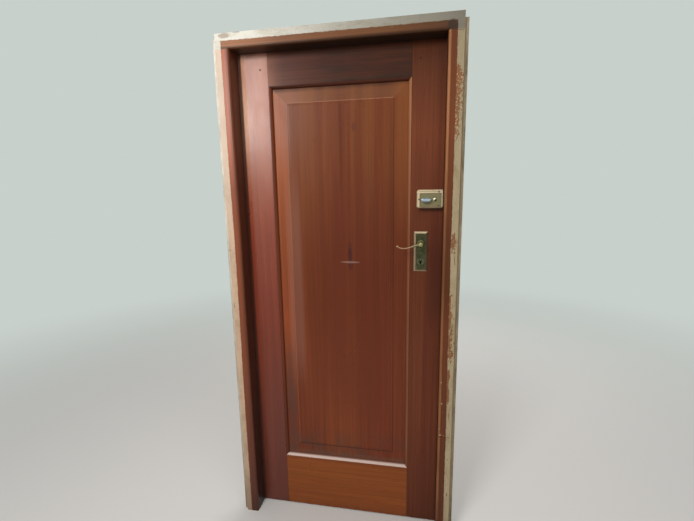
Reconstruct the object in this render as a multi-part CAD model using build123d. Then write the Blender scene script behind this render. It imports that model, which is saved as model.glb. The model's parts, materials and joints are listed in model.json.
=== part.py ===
from build123d import *
import os

# A panelled timber front door, seen from indoors, hung in its rebated frame and opening away from
# the room. Millimetres. X runs to the right, Y runs away from the room, Z runs up. The origin is on
# the floor, midway between the jambs, in the plane of the frame's front face.

# Leaf
leaf_width = 838.0
leaf_height = 2032.0
leaf_thickness = 44.0
stile_width = 136.0
top_rail_height = 134.0
bottom_rail_height = 250.0

# Gaps round the leaf
floor_gap = 6.0
edge_gap = 3.0
stop_gap = 1.5

# Frame
jamb_face = 54.0
head_face = 57.0
reveal_depth = 73.5
stop_cover = 14.0
back_set = 1.0
arris_radius = 7.5
batten_width = 14.0
batten_depth = 60.0
batten_setback = 12.0
batten_drop = 18.0
fixing_radius = 4.0
fixing_inset = 120.0
inner_fixing_inset = 640.0

# Frame and leaf joints
head_tenon_thickness = 18.0
head_tenon_width = 30.0
head_tenon_length = 40.0
rail_tenon_thickness = 14.0
rail_tenon_length = 90.0
tenon_shoulder = 16.0
tenon_split = 34.0
peg_radius = 4.0
peg_inset = 31.0
peg_drop = 72.0

# Panel and beads
panel_field_thickness = 26.0
panel_edge_thickness = 12.0
groove_depth = 12.0
groove_slack = 0.2
panel_bite = 10.0
bevel_width = 67.0
field_step = 1.6
bead_width = 11.0
bead_setback = 1.5
bead_flat = 2.0
bead_edge = 3.0

# Hinges
hinge_height = 102.0
hinge_plate = 3.0
hinge_reach = 34.0
hinge_top_inset = 200.0
hinge_bottom_inset = 225.0
knuckle_radius = 6.0
knuckle_gap = 0.3
knuckle_count = 5
hinge_pin_radius = 3.0
pin_head_radius = 4.5
pin_head_height = 2.0

# Lever lock
handle_height = 1276.0
key_drop = 72.0
lock_backset = 93.0
lock_case_thickness = 15.0
lock_case_wall = 1.5
lock_case_above = 49.0
lock_case_below = 116.0
lock_case_behind = 21.0
forend_thickness = 3.0
forend_width = 22.0
forend_height = 235.0
lock_bolt_thickness = 11.4
latch_height = 23.0
latch_rise = 6.5
latch_projection = 11.0
latch_travel = 11.5
latch_tail = 3.0
latch_tail_height = 5.0
deadbolt_height = 26.0
deadbolt_length = 39.0
deadbolt_throw = 14.0
spindle_width = 7.9
spindle_reach = 30.0
follower_radius = 10.0
journal_radius = 8.0
follower_arm = 19.5
follower_arm_width = 6.0

# Lever handles
plate_width = 54.0
plate_height = 161.0
plate_thickness = 5.0
plate_rim = 1.5
plate_bevel = 7.0
plate_above = 47.0
boss_radius = 15.0
boss_height = 3.0
neck_radius = 8.0
lever_projection = 46.0
lever_radius = 4.0
lever_run = 80.0
lever_fall = 16.0
curl_run = 15.0
curl_rise = 9.0
lever_curl_radius = 5.4
lever_curl_width = 10.5
keyhole_radius = 3.2
keyhole_slot = 3.0
keyhole_length = 15.0

# Night latch
night_height = 1448.0
night_backset = 76.0
night_case_width = 97.0
night_case_height = 70.5
night_case_depth = 30.0
night_case_wall = 3.0
night_front_wall = 4.0
night_case_up = 38.5
night_edge_gap = 3.2
night_corner_radius = 9.0
night_chamfer = 5.0
night_base_thickness = 1.5
night_bolt_height = 24.0
night_bolt_thickness = 14.0
night_bolt_length = 34.0
night_bolt_projection = 14.0
night_bolt_travel = 14.5
night_tail = 4.0
knob_width = 36.0
knob_height = 20.0
knob_grip = 12.0
knob_stand = 18.0
knob_neck_radius = 7.0
knob_hub_radius = 6.0
knob_hole_radius = 4.5
cam_reach = 20.5
cam_width = 6.0
snib_radius = 4.0
snib_travel = 8.0
snib_slot = 5.0
cylinder_radius = 14.5
cylinder_head_radius = 18.0
cylinder_head = 4.0
cylinder_ring_radius = 22.0
cylinder_ring = 5.0
plug_radius = 6.5
tailbar_width = 8.0
tailbar_thickness = 1.6

# Strikes
strike_thickness = 2.0
strike_width = 24.0
strike_height = 165.0
night_strike_height = 62.0
pocket_depth = 18.0

# Fits
running = 0.06
sliding = 0.3
screw_fit = 0.05

# Places worked out from the sizes above
leaf_edge = leaf_width / 2
rebate_edge = leaf_edge + edge_gap
sight_edge = rebate_edge - stop_cover
frame_edge = sight_edge + jamb_face
leaf_bottom = floor_gap
leaf_top = leaf_bottom + leaf_height
rebate_top = leaf_top + edge_gap
sight_top = rebate_top - stop_cover
frame_top = sight_top + head_face
leaf_front = reveal_depth + stop_gap
leaf_back = leaf_front + leaf_thickness
leaf_middle = (leaf_front + leaf_back) / 2
frame_back = leaf_back + back_set
opening_edge = leaf_edge - stile_width
opening_bottom = leaf_bottom + bottom_rail_height
opening_top = leaf_top - top_rail_height
opening_middle = (opening_bottom + opening_top) / 2
opening_height = opening_top - opening_bottom
tongue_front = leaf_middle - panel_edge_thickness / 2
field_front = leaf_middle - panel_field_thickness / 2
spindle_x = leaf_edge - lock_backset
key_height = handle_height - key_drop
night_x = leaf_edge - night_backset


def block(x0, x1, y0, y1, z0, z1):
    """A box between two corners."""
    middle = ((x0 + x1) / 2, (y0 + y1) / 2, (z0 + z1) / 2)
    return Pos(*middle) * Box(x1 - x0, y1 - y0, z1 - z0)


def rod(start, direction, radius, length):
    """A round bar from a point, along a direction."""
    aligned = (Align.CENTER, Align.CENTER, Align.MIN)
    return Plane(origin=start, z_dir=direction) * Cylinder(radius, length, align=aligned)


def rod_y(x, z, y0, y1, radius):
    """A round bar through the thickness of the door."""
    return rod((x, y0, z), (0, 1, 0), radius, y1 - y0)


def single(shape):
    """The one solid that a piece is made of."""
    solids = shape.solids()
    assert len(solids) == 1, f"{len(solids)} solids where one was meant"
    return solids[0]


def to_back(shape):
    """The same piece on the other face of the leaf."""
    return mirror(shape, about=Plane(origin=(0, leaf_middle, 0), z_dir=(0, 1, 0)))


def screw(place, outward, length, head_radius=4.0, shank_radius=2.0, head_depth=2.2, slot=0.9):
    """A countersunk screw with its flat head at a place, its slot showing outward."""
    middle_top = (Align.CENTER, Align.CENTER, Align.MAX)
    head = Cone(shank_radius, head_radius, head_depth, align=middle_top)
    shank = Pos(0, 0, -head_depth) * Cylinder(shank_radius, length - head_depth, align=middle_top)
    cut = Box(3 * head_radius, slot, 2 * slot)
    return Plane(origin=place, z_dir=outward) * (head + shank - cut)


def screw_hole(place, outward, length, head_radius=4.0, shank_radius=2.0, head_depth=2.2):
    """The hole that such a screw is driven into."""
    middle_top = (Align.CENTER, Align.CENTER, Align.MAX)
    head = Cone(
        shank_radius + screw_fit, head_radius + screw_fit, head_depth + screw_fit, align=middle_top
    )
    mouth = Cylinder(head_radius + screw_fit, 2, align=(Align.CENTER, Align.CENTER, Align.MIN))
    shank = Cylinder(shank_radius + screw_fit, length + 1, align=middle_top)
    return Plane(origin=place, z_dir=outward) * (head + mouth + shank)


# The frame is routed as one ring, so that its rounded arris mitres in the corners, then parted
# where the jambs butt under the head.
frame_ring = block(-frame_edge, frame_edge, 0, frame_back, 0, frame_top)
frame_ring -= block(-sight_edge, sight_edge, 0, reveal_depth, 0, sight_top)
frame_ring -= block(-rebate_edge, rebate_edge, reveal_depth, frame_back, 0, rebate_top)
front_edges = frame_ring.edges().filter_by(
    lambda e: max(abs(v.Y) for v in e.vertices()) < 0.01
    and max(abs(v.X) for v in e.vertices()) < sight_edge + 0.01
    and max(v.Z for v in e.vertices()) > 1
    and e.length > jamb_face + 1
)
frame_ring = fillet(front_edges, arris_radius)

tenon_x = (sight_edge + arris_radius + frame_edge) / 2
tenon_y = reveal_depth / 2


def head_tenon(side):
    """The blind tenon that keys a jamb up into the head."""
    return block(
        side * tenon_x - head_tenon_width / 2,
        side * tenon_x + head_tenon_width / 2,
        tenon_y - head_tenon_thickness / 2,
        tenon_y + head_tenon_thickness / 2,
        sight_top,
        sight_top + head_tenon_length,
    )


fixing_y = (leaf_front + leaf_back) / 2
fixing_heights = [
    fixing_inset,
    inner_fixing_inset,
    sight_top - inner_fixing_inset,
    sight_top - fixing_inset,
]
fixing_holes = [
    rod((-frame_edge - 1, fixing_y, z), (1, 0, 0), fixing_radius, 2 * frame_edge + 2)
    for z in fixing_heights
]

jamb_zone = block(0, frame_edge, 0, frame_back, 0, sight_top)
right_jamb = (frame_ring & jamb_zone) + head_tenon(1)
left_jamb = (frame_ring & mirror(jamb_zone, about=Plane.YZ)) + head_tenon(-1)
right_jamb -= fixing_holes
left_jamb -= fixing_holes
head = frame_ring & block(-frame_edge, frame_edge, 0, frame_back, sight_top, frame_top)
head -= [head_tenon(1), head_tenon(-1)]

right_batten = block(
    frame_edge,
    frame_edge + batten_width,
    batten_setback,
    batten_setback + batten_depth,
    0,
    frame_top - batten_drop,
)
left_batten = mirror(right_batten, about=Plane.YZ)

# The leaf's stiles, rails and their joints
groove_half = panel_edge_thickness / 2 + groove_slack
groove = block(
    -opening_edge - groove_depth,
    opening_edge + groove_depth,
    leaf_middle - groove_half,
    leaf_middle + groove_half,
    opening_bottom - groove_depth,
    opening_top + groove_depth,
)


def rail_tenon(z0, z1):
    """One tenon bar, long enough to reach into both stiles."""
    half = opening_edge + rail_tenon_length
    y0 = leaf_middle - rail_tenon_thickness / 2
    return block(-half, half, y0, y0 + rail_tenon_thickness, z0, z1)


bottom_split = (leaf_bottom + opening_bottom) / 2
top_tenons = [rail_tenon(opening_top + groove_depth + tenon_shoulder, leaf_top - tenon_split)]
bottom_tenons = [
    rail_tenon(leaf_bottom + tenon_split, bottom_split - tenon_shoulder),
    rail_tenon(bottom_split + tenon_shoulder, opening_bottom - groove_depth - tenon_shoulder),
]
rail_zone = (-opening_edge, opening_edge, leaf_front, leaf_back)
top_rail = block(*rail_zone, opening_top, leaf_top) + top_tenons - groove
bottom_rail = block(*rail_zone, leaf_bottom, opening_bottom) + bottom_tenons - groove

lock_stile = block(opening_edge, leaf_edge, leaf_front, leaf_back, leaf_bottom, leaf_top)
hinge_stile = mirror(lock_stile, about=Plane.YZ)
lock_stile -= [groove, *top_tenons, *bottom_tenons]
hinge_stile -= [groove, *top_tenons, *bottom_tenons]

peg_places = [(s * (opening_edge + peg_inset), leaf_top - peg_drop) for s in (-1, 1)]
tenon_pegs = [rod_y(x, z, leaf_front, leaf_back, peg_radius) for x, z in peg_places]
peg_holes = [rod_y(x, z, leaf_front, leaf_back, peg_radius + screw_fit) for x, z in peg_places]
top_rail -= peg_holes
lock_stile -= peg_holes
hinge_stile -= peg_holes

# The raised and fielded panel is the same on both faces
bevel_edge = opening_edge - bead_width
field_edge = bevel_edge - bevel_width
bevel_height = opening_height - 2 * bead_width
field_height = bevel_height - 2 * bevel_width


def panel_rectangle(half_width, height, y):
    """An upright rectangle centred on the panel, facing the room."""
    plane = Plane(origin=(0, y, opening_middle), x_dir=(1, 0, 0), z_dir=(0, -1, 0))
    return plane * Rectangle(2 * half_width, height)


raised_front = loft(
    [
        panel_rectangle(bevel_edge, bevel_height, tongue_front),
        panel_rectangle(field_edge, field_height, field_front + field_step),
    ]
)
raised_front += block(
    -field_edge,
    field_edge,
    field_front,
    tongue_front,
    opening_middle - field_height / 2,
    opening_middle + field_height / 2,
)
panel = block(
    -opening_edge - panel_bite,
    opening_edge + panel_bite,
    tongue_front,
    tongue_front + panel_edge_thickness,
    opening_bottom - panel_bite,
    opening_top + panel_bite,
)
panel += [raised_front, to_back(raised_front)]

bead_rise = tongue_front - leaf_front - bead_setback


def bead(run):
    """A planted bead lying along X, its moulded edge towards +Y, mitred at both ends."""
    crown = (bead_flat, bead_rise)
    foot = (bead_width, bead_edge)
    bulge = (
        (bead_flat + bead_width) / 2 + bead_width / 10,
        (bead_rise + bead_edge) / 2 + bead_rise / 10,
    )
    outline = Curve() + [
        Line((0, 0), (0, bead_rise)),
        Line((0, bead_rise), crown),
        ThreePointArc(crown, bulge, foot),
        Line(foot, (bead_width, 0)),
        Line((bead_width, 0), (0, 0)),
    ]
    section = Plane(origin=(-run / 2, 0, 0), x_dir=(0, 1, 0), z_dir=(1, 0, 0)) * make_face(outline)
    corners = [
        (-run / 2, 0),
        (run / 2, 0),
        (run / 2 - bead_width, bead_width),
        (bead_width - run / 2, bead_width),
    ]
    mitres = extrude(make_face(Polyline(*corners, close=True)), bead_rise)
    return extrude(section, run) & mitres


opening_width = 2 * opening_edge
bead_sides = {
    "left": ((-opening_edge, opening_middle), (0, 0, -1), opening_height),
    "right": ((opening_edge, opening_middle), (0, 0, 1), opening_height),
    "top": ((0, opening_top), (-1, 0, 0), opening_width),
    "bottom": ((0, opening_bottom), (1, 0, 0), opening_width),
}
beads = {}
for side, ((x, z), along, run) in bead_sides.items():
    plane = Plane(origin=(x, tongue_front, z), x_dir=along, z_dir=(0, -1, 0))
    beads[f"front_bead_{side}"] = plane * bead(run)
    beads[f"back_bead_{side}"] = to_back(plane * bead(run))

# Butt hinges in the gap at the left, with their knuckles behind the leaf
pin_x = -(leaf_edge + rebate_edge) / 2
pin_y = frame_back + knuckle_radius + 0.4
hinge_front = leaf_back - hinge_reach + back_set
hinge_heights = {
    "top": leaf_top - hinge_top_inset,
    "middle": (leaf_top - hinge_top_inset + leaf_bottom + hinge_bottom_inset) / 2,
    "bottom": leaf_bottom + hinge_bottom_inset,
}
hinge_screw_places = [(-0.37, 0.3), (-0.13, 0.65), (0.13, 0.3), (0.37, 0.65)]
hinge_screw_length = 30.0


def knuckles(z0, turns, radius):
    """The stretches of barrel that one half of a hinge owns."""
    step = hinge_height / knuckle_count
    return [
        rod((pin_x, pin_y, z0 + i * step + knuckle_gap / 2), (0, 0, 1), radius, step - knuckle_gap)
        for i in turns
    ]


def hinge(middle):
    """The frame plate, the leaf plate and the pin of one hinge."""
    z0, z1 = middle - hinge_height / 2, middle + hinge_height / 2
    frame_turns = range(0, knuckle_count, 2)
    leaf_turns = range(1, knuckle_count, 2)
    clear = knuckle_radius + 0.4
    step = hinge_height / knuckle_count
    frame_plate = block(-rebate_edge - hinge_plate, -rebate_edge, hinge_front, pin_y, z0, z1)
    leaf_plate = block(-leaf_edge, -leaf_edge + hinge_plate, hinge_front, pin_y, z0, z1)
    for i in leaf_turns:
        frame_plate -= rod((pin_x, pin_y, z0 + i * step), (0, 0, 1), clear, step)
    for i in frame_turns:
        leaf_plate -= rod((pin_x, pin_y, z0 + i * step), (0, 0, 1), clear, step)
    frame_plate += knuckles(z0, frame_turns, knuckle_radius)
    leaf_plate += knuckles(z0, leaf_turns, knuckle_radius)
    bore = hinge_pin_radius + running
    barrel = rod((pin_x, pin_y, z0 - 1), (0, 0, 1), bore, hinge_height + 2)
    pin = rod((pin_x, pin_y, z0 - 0.2), (0, 0, 1), hinge_pin_radius, hinge_height + 0.4)
    pin += rod((pin_x, pin_y, z1 + 0.2), (0, 0, 1), pin_head_radius, pin_head_height)
    pin += rod((pin_x, pin_y, z0 - 0.2), (0, 0, -1), pin_head_radius, pin_head_height)
    return frame_plate - barrel, leaf_plate - barrel, pin


hinges = {}
frame_hinge_screws, leaf_hinge_screws = [], []
for level, middle in hinge_heights.items():
    frame_plate, leaf_plate, pin = hinge(middle)
    z0, z1 = middle - hinge_height / 2, middle + hinge_height / 2
    left_jamb -= block(-rebate_edge - hinge_plate, -rebate_edge, hinge_front, frame_back, z0, z1)
    hinge_stile -= block(-leaf_edge, -leaf_edge + hinge_plate, hinge_front, leaf_back, z0, z1)
    for up, across in hinge_screw_places:
        y, z = hinge_front + across * hinge_reach, middle + up * hinge_height
        frame_side = ((-rebate_edge, y, z), (1, 0, 0), hinge_screw_length)
        leaf_side = ((-leaf_edge, y, z), (-1, 0, 0), hinge_screw_length)
        frame_hinge_screws.append(screw(*frame_side))
        leaf_hinge_screws.append(screw(*leaf_side))
        frame_plate -= screw_hole(*frame_side)
        leaf_plate -= screw_hole(*leaf_side)
        left_jamb -= screw_hole(*frame_side)
        hinge_stile -= screw_hole(*leaf_side)
    hinges[f"{level}_hinge_frame_plate"] = frame_plate
    hinges[f"{level}_hinge_leaf_plate"] = leaf_plate
    hinges[f"{level}_hinge_pin"] = pin

# The mortice lock in the lock stile
forend_x = leaf_edge - forend_thickness
case_left = spindle_x - lock_case_behind
case_front = leaf_middle - lock_case_thickness / 2
case_back = leaf_middle + lock_case_thickness / 2
case_bottom = handle_height - lock_case_below
case_top = handle_height + lock_case_above
bolt_front = leaf_middle - lock_bolt_thickness / 2
bolt_back = leaf_middle + lock_bolt_thickness / 2
forend_middle = (case_bottom + case_top) / 2
forend_bottom = forend_middle - forend_height / 2
forend_top = forend_middle + forend_height / 2


def keyhole(x, z, y0, y1, radius, slot, length):
    """A keyhole through some thickness: a round head over a slot."""
    return rod_y(x, z, y0, y1, radius) + block(x - slot / 2, x + slot / 2, y0, y1, z - length, z)


latch_bottom = handle_height + latch_rise - latch_height / 2
latch_top = latch_bottom + latch_height
latch_left = leaf_edge - deadbolt_length + latch_projection
latch_tip = leaf_edge + latch_projection
latch_bolt = block(latch_left, latch_tip, bolt_front, bolt_back, latch_bottom, latch_top)
latch_bevel = Polyline(
    (latch_tip - latch_projection + 1, bolt_front),
    (latch_tip + 1, bolt_front),
    (latch_tip + 1, bolt_back - 2),
    (latch_tip, bolt_back - 2),
    close=True,
)
latch_bolt -= extrude(Pos(0, 0, latch_bottom) * make_face(latch_bevel), latch_height)
tail_bottom = latch_top - latch_tail_height
arm_left = spindle_x - follower_arm_width / 2
lug_right = arm_left - 1
lug_left = lug_right - 3
lug_bottom = handle_height + follower_radius + 0.7
latch_bolt += block(
    lug_left, latch_left, bolt_front, bolt_front + latch_tail, tail_bottom, latch_top
)
latch_bolt += block(lug_left, lug_right, bolt_front, bolt_back, lug_bottom, latch_top)

deadbolt_top = key_height + deadbolt_height / 2
deadbolt_bottom = key_height - deadbolt_height / 2
deadbolt_left = leaf_edge - deadbolt_length
dead_tail_left = spindle_x + 16
dead_bolt = block(
    deadbolt_left, leaf_edge - sliding, bolt_front, bolt_back, deadbolt_bottom, deadbolt_top
)
dead_bolt += block(
    dead_tail_left,
    deadbolt_left,
    bolt_front,
    bolt_front + latch_tail,
    deadbolt_bottom + 4,
    deadbolt_top - 4,
)

lever_sheet = 2.0
lever_gap = 0.4
lock_levers = [
    block(
        dead_tail_left + 2,
        deadbolt_left - 2,
        bolt_front + latch_tail + lever_gap + i * (lever_sheet + lever_gap),
        bolt_front + latch_tail + lever_gap + i * (lever_sheet + lever_gap) + lever_sheet,
        deadbolt_bottom + 2,
        deadbolt_top,
    )
    for i in range(3)
]

follower_front = case_front + lock_case_wall + 0.2
follower_back = case_back - lock_case_wall - 0.2
spindle_hole = block(
    spindle_x - spindle_width / 2 - running,
    spindle_x + spindle_width / 2 + running,
    leaf_front - lever_projection,
    leaf_back + lever_projection,
    handle_height - spindle_width / 2 - running,
    handle_height + spindle_width / 2 + running,
)
lock_follower = rod_y(spindle_x, handle_height, follower_front, follower_back, follower_radius)
lock_follower += rod_y(spindle_x, handle_height, case_front, case_back, journal_radius)
lock_follower += block(
    spindle_x - follower_arm_width / 2,
    spindle_x + follower_arm_width / 2,
    bolt_front + latch_tail + 0.5,
    follower_back,
    handle_height,
    handle_height + follower_arm,
)
lock_follower -= spindle_hole

journal_hole = rod_y(
    spindle_x, handle_height, case_front, case_back, journal_radius + running
)
key_cut = keyhole(
    spindle_x, key_height, leaf_front, leaf_back, keyhole_radius, keyhole_slot, keyhole_length
)
lock_cover = block(
    case_left, forend_x, case_front, case_front + lock_case_wall, case_bottom, case_top
)
lock_case = block(
    case_left, forend_x, case_front + lock_case_wall, case_back, case_bottom, case_top
)
lock_case -= block(
    case_left + lock_case_wall,
    forend_x,
    case_front + lock_case_wall,
    case_back - lock_case_wall,
    case_bottom + lock_case_wall,
    case_top - lock_case_wall,
)
spring_radius = 3.5
spring_wire = 0.5
spring_z = handle_height + latch_rise - 5
spring_y = (bolt_front + latch_tail + bolt_back) / 2
spring_post = latch_left - 26
lock_case += block(
    spring_post - 2.5,
    spring_post,
    bolt_front + latch_tail + 1,
    case_back - lock_case_wall,
    spring_z - 3,
    spring_z + 3,
)
lock_cover -= [journal_hole, key_cut]
lock_case -= [journal_hole, key_cut]


def coil(start_x, end_x, y, z, radius, wire, turns):
    """A compression spring lying along X."""
    length = end_x - start_x
    path = Plane(origin=(start_x, y, z), x_dir=(0, 1, 0), z_dir=(1, 0, 0)) * Helix(
        pitch=length / turns, height=length, radius=radius
    )
    section = Plane(origin=path @ 0, z_dir=path % 0) * Circle(wire)
    return sweep(section, path=path, is_frenet=True)


lock_latch_spring = coil(
    spring_post + spring_wire + 0.2,
    latch_left - spring_wire - 0.2,
    spring_y,
    spring_z,
    spring_radius,
    spring_wire,
    9,
)

bolt_holes = [
    block(
        forend_x - 1,
        leaf_edge + 1,
        bolt_front - sliding,
        bolt_back + sliding,
        bottom - sliding,
        top + sliding,
    )
    for bottom, top in ((latch_bottom, latch_top), (deadbolt_bottom, deadbolt_top))
]
forend_zone = (
    forend_x,
    leaf_edge,
    leaf_middle - forend_width / 2,
    leaf_middle + forend_width / 2,
    forend_bottom,
    forend_top,
)
lock_forend = block(*forend_zone) - bolt_holes
lock_stile -= block(*forend_zone)
lock_stile -= block(
    case_left - sliding,
    forend_x,
    case_front - sliding,
    case_back + sliding,
    case_bottom - sliding,
    case_top + sliding,
)
lock_stile -= rod_y(spindle_x, handle_height, leaf_front, leaf_back, neck_radius + 2.5)
lock_stile -= keyhole(spindle_x, key_height, leaf_front, leaf_back, 5, 6, keyhole_length + 2)

lock_screws = []
for z in (forend_bottom + 12, forend_top - 12):
    place = ((leaf_edge, leaf_middle, z), (1, 0, 0), 28)
    lock_screws.append(screw(*place))
    lock_forend -= screw_hole(*place)
    lock_stile -= screw_hole(*place)

# A bevelled backplate and a scroll lever on each face
plate_top = handle_height + plate_above
plate_bottom = plate_top - plate_height
plate_middle = (plate_top + plate_bottom) / 2
plate_front = leaf_front - plate_thickness


def plate_rectangle(width, height, y):
    """An upright rectangle centred on the backplate, facing the room."""
    plane = Plane(origin=(spindle_x, y, plate_middle), x_dir=(1, 0, 0), z_dir=(0, -1, 0))
    return plane * Rectangle(width, height)


front_plate = loft(
    [
        plate_rectangle(plate_width, plate_height, leaf_front - plate_rim),
        plate_rectangle(
            plate_width - 2 * plate_bevel, plate_height - 2 * plate_bevel, plate_front
        ),
    ]
)
front_plate += block(
    spindle_x - plate_width / 2,
    spindle_x + plate_width / 2,
    leaf_front - plate_rim,
    leaf_front,
    plate_bottom,
    plate_top,
)
boss_front = plate_front - boss_height
front_plate += rod_y(spindle_x, handle_height, boss_front, plate_front, boss_radius)
front_plate -= rod_y(spindle_x, handle_height, boss_front, leaf_front, neck_radius + running)
front_plate -= keyhole(
    spindle_x,
    key_height,
    plate_front,
    leaf_front,
    keyhole_radius,
    keyhole_slot,
    keyhole_length,
)
plate_screw_inset = plate_bevel + 5
plate_screw_length = plate_thickness + case_front - leaf_front - 1
for across in (-1, 1):
    for z in (plate_bottom + plate_screw_inset, plate_top - plate_screw_inset):
        x = spindle_x + across * (plate_width / 2 - plate_screw_inset)
        place = ((x, plate_front, z), (0, -1, 0), plate_screw_length, 3.2, 1.6, 1.8)
        lock_screws += [screw(*place), to_back(screw(*place))]
        front_plate -= screw_hole(*place)
        lock_stile -= [screw_hole(*place), to_back(screw_hole(*place))]

lever_y = leaf_front - lever_projection
lever_start = Vector(spindle_x, lever_y, handle_height)
lever_waist = lever_start + Vector(-lever_run / 2, 0, -lever_fall / 2)
lever_low = lever_start + Vector(-lever_run, 0, -lever_fall)
lever_tip = lever_low + Vector(-curl_run, 0, curl_rise)
fall = TangentArc(lever_start, lever_waist, tangent=(-1, 0, 0))
level_out = TangentArc(lever_waist, lever_low, tangent=fall % 1)
curl_up = TangentArc(lever_low, lever_tip, tangent=level_out % 1)
lever_path = Curve() + [fall, level_out, curl_up]
front_lever = sweep(
    Plane(origin=lever_start, z_dir=(-1, 0, 0)) * Circle(lever_radius), path=lever_path
)
curl = rod_y(
    lever_tip.X,
    lever_tip.Z,
    lever_y - lever_curl_width / 2,
    lever_y + lever_curl_width / 2,
    lever_curl_radius,
)
neck = rod_y(spindle_x, handle_height, lever_y - neck_radius, leaf_front - 1, neck_radius)
front_lever += fillet(curl.edges().filter_by(GeomType.CIRCLE), 0.4 * lever_curl_radius)
front_lever += fillet(neck.faces().sort_by(Axis.Y)[0].edges(), 0.8 * neck_radius)
spindle_front = leaf_front - spindle_reach
spindle_back = leaf_back + spindle_reach
spindle_pocket = block(
    spindle_x - spindle_width / 2 - running,
    spindle_x + spindle_width / 2 + running,
    spindle_front,
    leaf_front,
    handle_height - spindle_width / 2 - running,
    handle_height + spindle_width / 2 + running,
)
front_lever -= spindle_pocket
spindle = block(
    spindle_x - spindle_width / 2,
    spindle_x + spindle_width / 2,
    spindle_front,
    spindle_back,
    handle_height - spindle_width / 2,
    handle_height + spindle_width / 2,
)

# The rim night latch on the room side, with its cylinder through to the back
night_right = sight_edge - night_edge_gap
night_left = night_right - night_case_width
night_top = night_height + night_case_up
night_bottom = night_top - night_case_height
night_front = leaf_front - night_case_depth
cavity_front = night_front + night_front_wall
night_bolt_middle = night_height + 5
night_bolt_bottom = night_bolt_middle - night_bolt_height / 2
night_bolt_top = night_bolt_middle + night_bolt_height / 2
night_bolt_y = cavity_front + 5
night_tip = night_right + night_bolt_projection
night_bolt_left = night_tip - night_bolt_length

night_case = block(night_left, night_right, night_front, leaf_front, night_bottom, night_top)
left_corners = night_case.edges().filter_by(Axis.Y).group_by(Axis.X)[0]
night_case = fillet(left_corners, night_corner_radius)
front_rim = night_case.faces().sort_by(Axis.Y)[0].edges()
front_rim = front_rim.filter_by(lambda e: e.center().X < night_right - 0.1)
night_case = chamfer(front_rim, night_chamfer)
night_case -= block(
    night_left + night_case_wall,
    night_right - night_case_wall,
    cavity_front,
    leaf_front,
    night_bottom + night_case_wall,
    night_top - night_case_wall,
)
recess_step = night_x + knob_width / 2 + 4
recess_bottom = night_bottom + 8
recess_top = night_top - 15
night_case -= block(
    night_left + 13, recess_step, night_front, night_front + 1.8, recess_bottom, recess_top
)
night_case -= block(
    recess_step, night_right - 5, night_front, night_front + 1.0, recess_bottom, recess_top
)
night_pillars = [
    (night_left + night_case_wall + 5.7, night_height + 2),
    (night_right - 14, night_top - night_case_wall - 5.5),
    (night_right - 16, night_bottom + night_case_wall + 5.5),
]
night_base = block(
    night_left + night_case_wall + sliding,
    night_right - night_case_wall - sliding,
    leaf_front - night_base_thickness,
    leaf_front,
    night_bottom + night_case_wall + sliding,
    night_top - night_case_wall - sliding,
)
base_front = leaf_front - night_base_thickness
night_case += [rod_y(x, z, cavity_front - 1, base_front, 4.5) for x, z in night_pillars]
night_case += [rod_y(x, z, night_front, cavity_front, 3.7) for x, z in night_pillars]
night_screws = []
for x, z in night_pillars:
    place = ((x, night_front, z), (0, -1, 0), night_case_depth + 20, 3.2, 1.8, 1.6)
    night_screws.append(screw(*place))
    night_case -= screw_hole(*place)
    night_base -= screw_hole(*place)
    lock_stile -= screw_hole(*place)

night_bolt = block(
    night_bolt_left,
    night_tip,
    night_bolt_y,
    night_bolt_y + night_bolt_thickness,
    night_bolt_bottom,
    night_bolt_top,
)
night_bevel = Polyline(
    (night_tip - night_bolt_projection + 2, night_bolt_y),
    (night_tip + 1, night_bolt_y),
    (night_tip + 1, night_bolt_y + night_bolt_thickness - 3),
    (night_tip, night_bolt_y + night_bolt_thickness - 3),
    close=True,
)
night_bolt -= extrude(Pos(0, 0, night_bolt_bottom) * make_face(night_bevel), night_bolt_height)
night_case -= block(
    night_right - night_case_wall - 1,
    night_right + 1,
    night_bolt_y - sliding,
    night_bolt_y + night_bolt_thickness + sliding,
    night_bolt_bottom - sliding,
    night_bolt_top + sliding,
)
cam_front = cavity_front + 1.5
cam_back = cam_front + 5.5
night_tail_front = cam_back + 2
night_tail_bottom = night_height + knob_hub_radius + 2
night_lug_right = night_x - cam_width / 2 - 1
night_lug_left = night_lug_right - 3.5
night_bolt += block(
    night_lug_left,
    night_bolt_left,
    night_tail_front,
    night_tail_front + night_tail,
    night_tail_bottom,
    night_bolt_top,
)
night_bolt += block(
    night_lug_left,
    night_lug_right,
    cam_front,
    night_tail_front,
    night_tail_bottom + 1,
    night_bolt_top,
)

knob_front = night_front - knob_stand
knob_plane = Plane(origin=(night_x, knob_front, night_height), x_dir=(1, 0, 0), z_dir=(0, -1, 0))
night_knob = extrude(knob_plane * Ellipse(knob_width / 2, knob_height / 2), -knob_grip)
night_knob = fillet(night_knob.faces().sort_by(Axis.Y)[0].edges(), 3.5)
night_knob += rod_y(night_x, night_height, knob_front + 2, cam_back, knob_neck_radius)
night_knob += rod_y(night_x, night_height, cam_back, cam_back + 12, knob_hub_radius)
night_knob += block(
    night_x - cam_width / 2,
    night_x + cam_width / 2,
    cam_front,
    cam_back,
    night_height,
    night_height + cam_reach,
)
night_knob -= rod_y(night_x, night_height, cam_back + 1, cam_back + 13, knob_hole_radius)
night_case -= rod_y(
    night_x, night_height, night_front - 1, cavity_front + 1, knob_neck_radius + running
)

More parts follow.
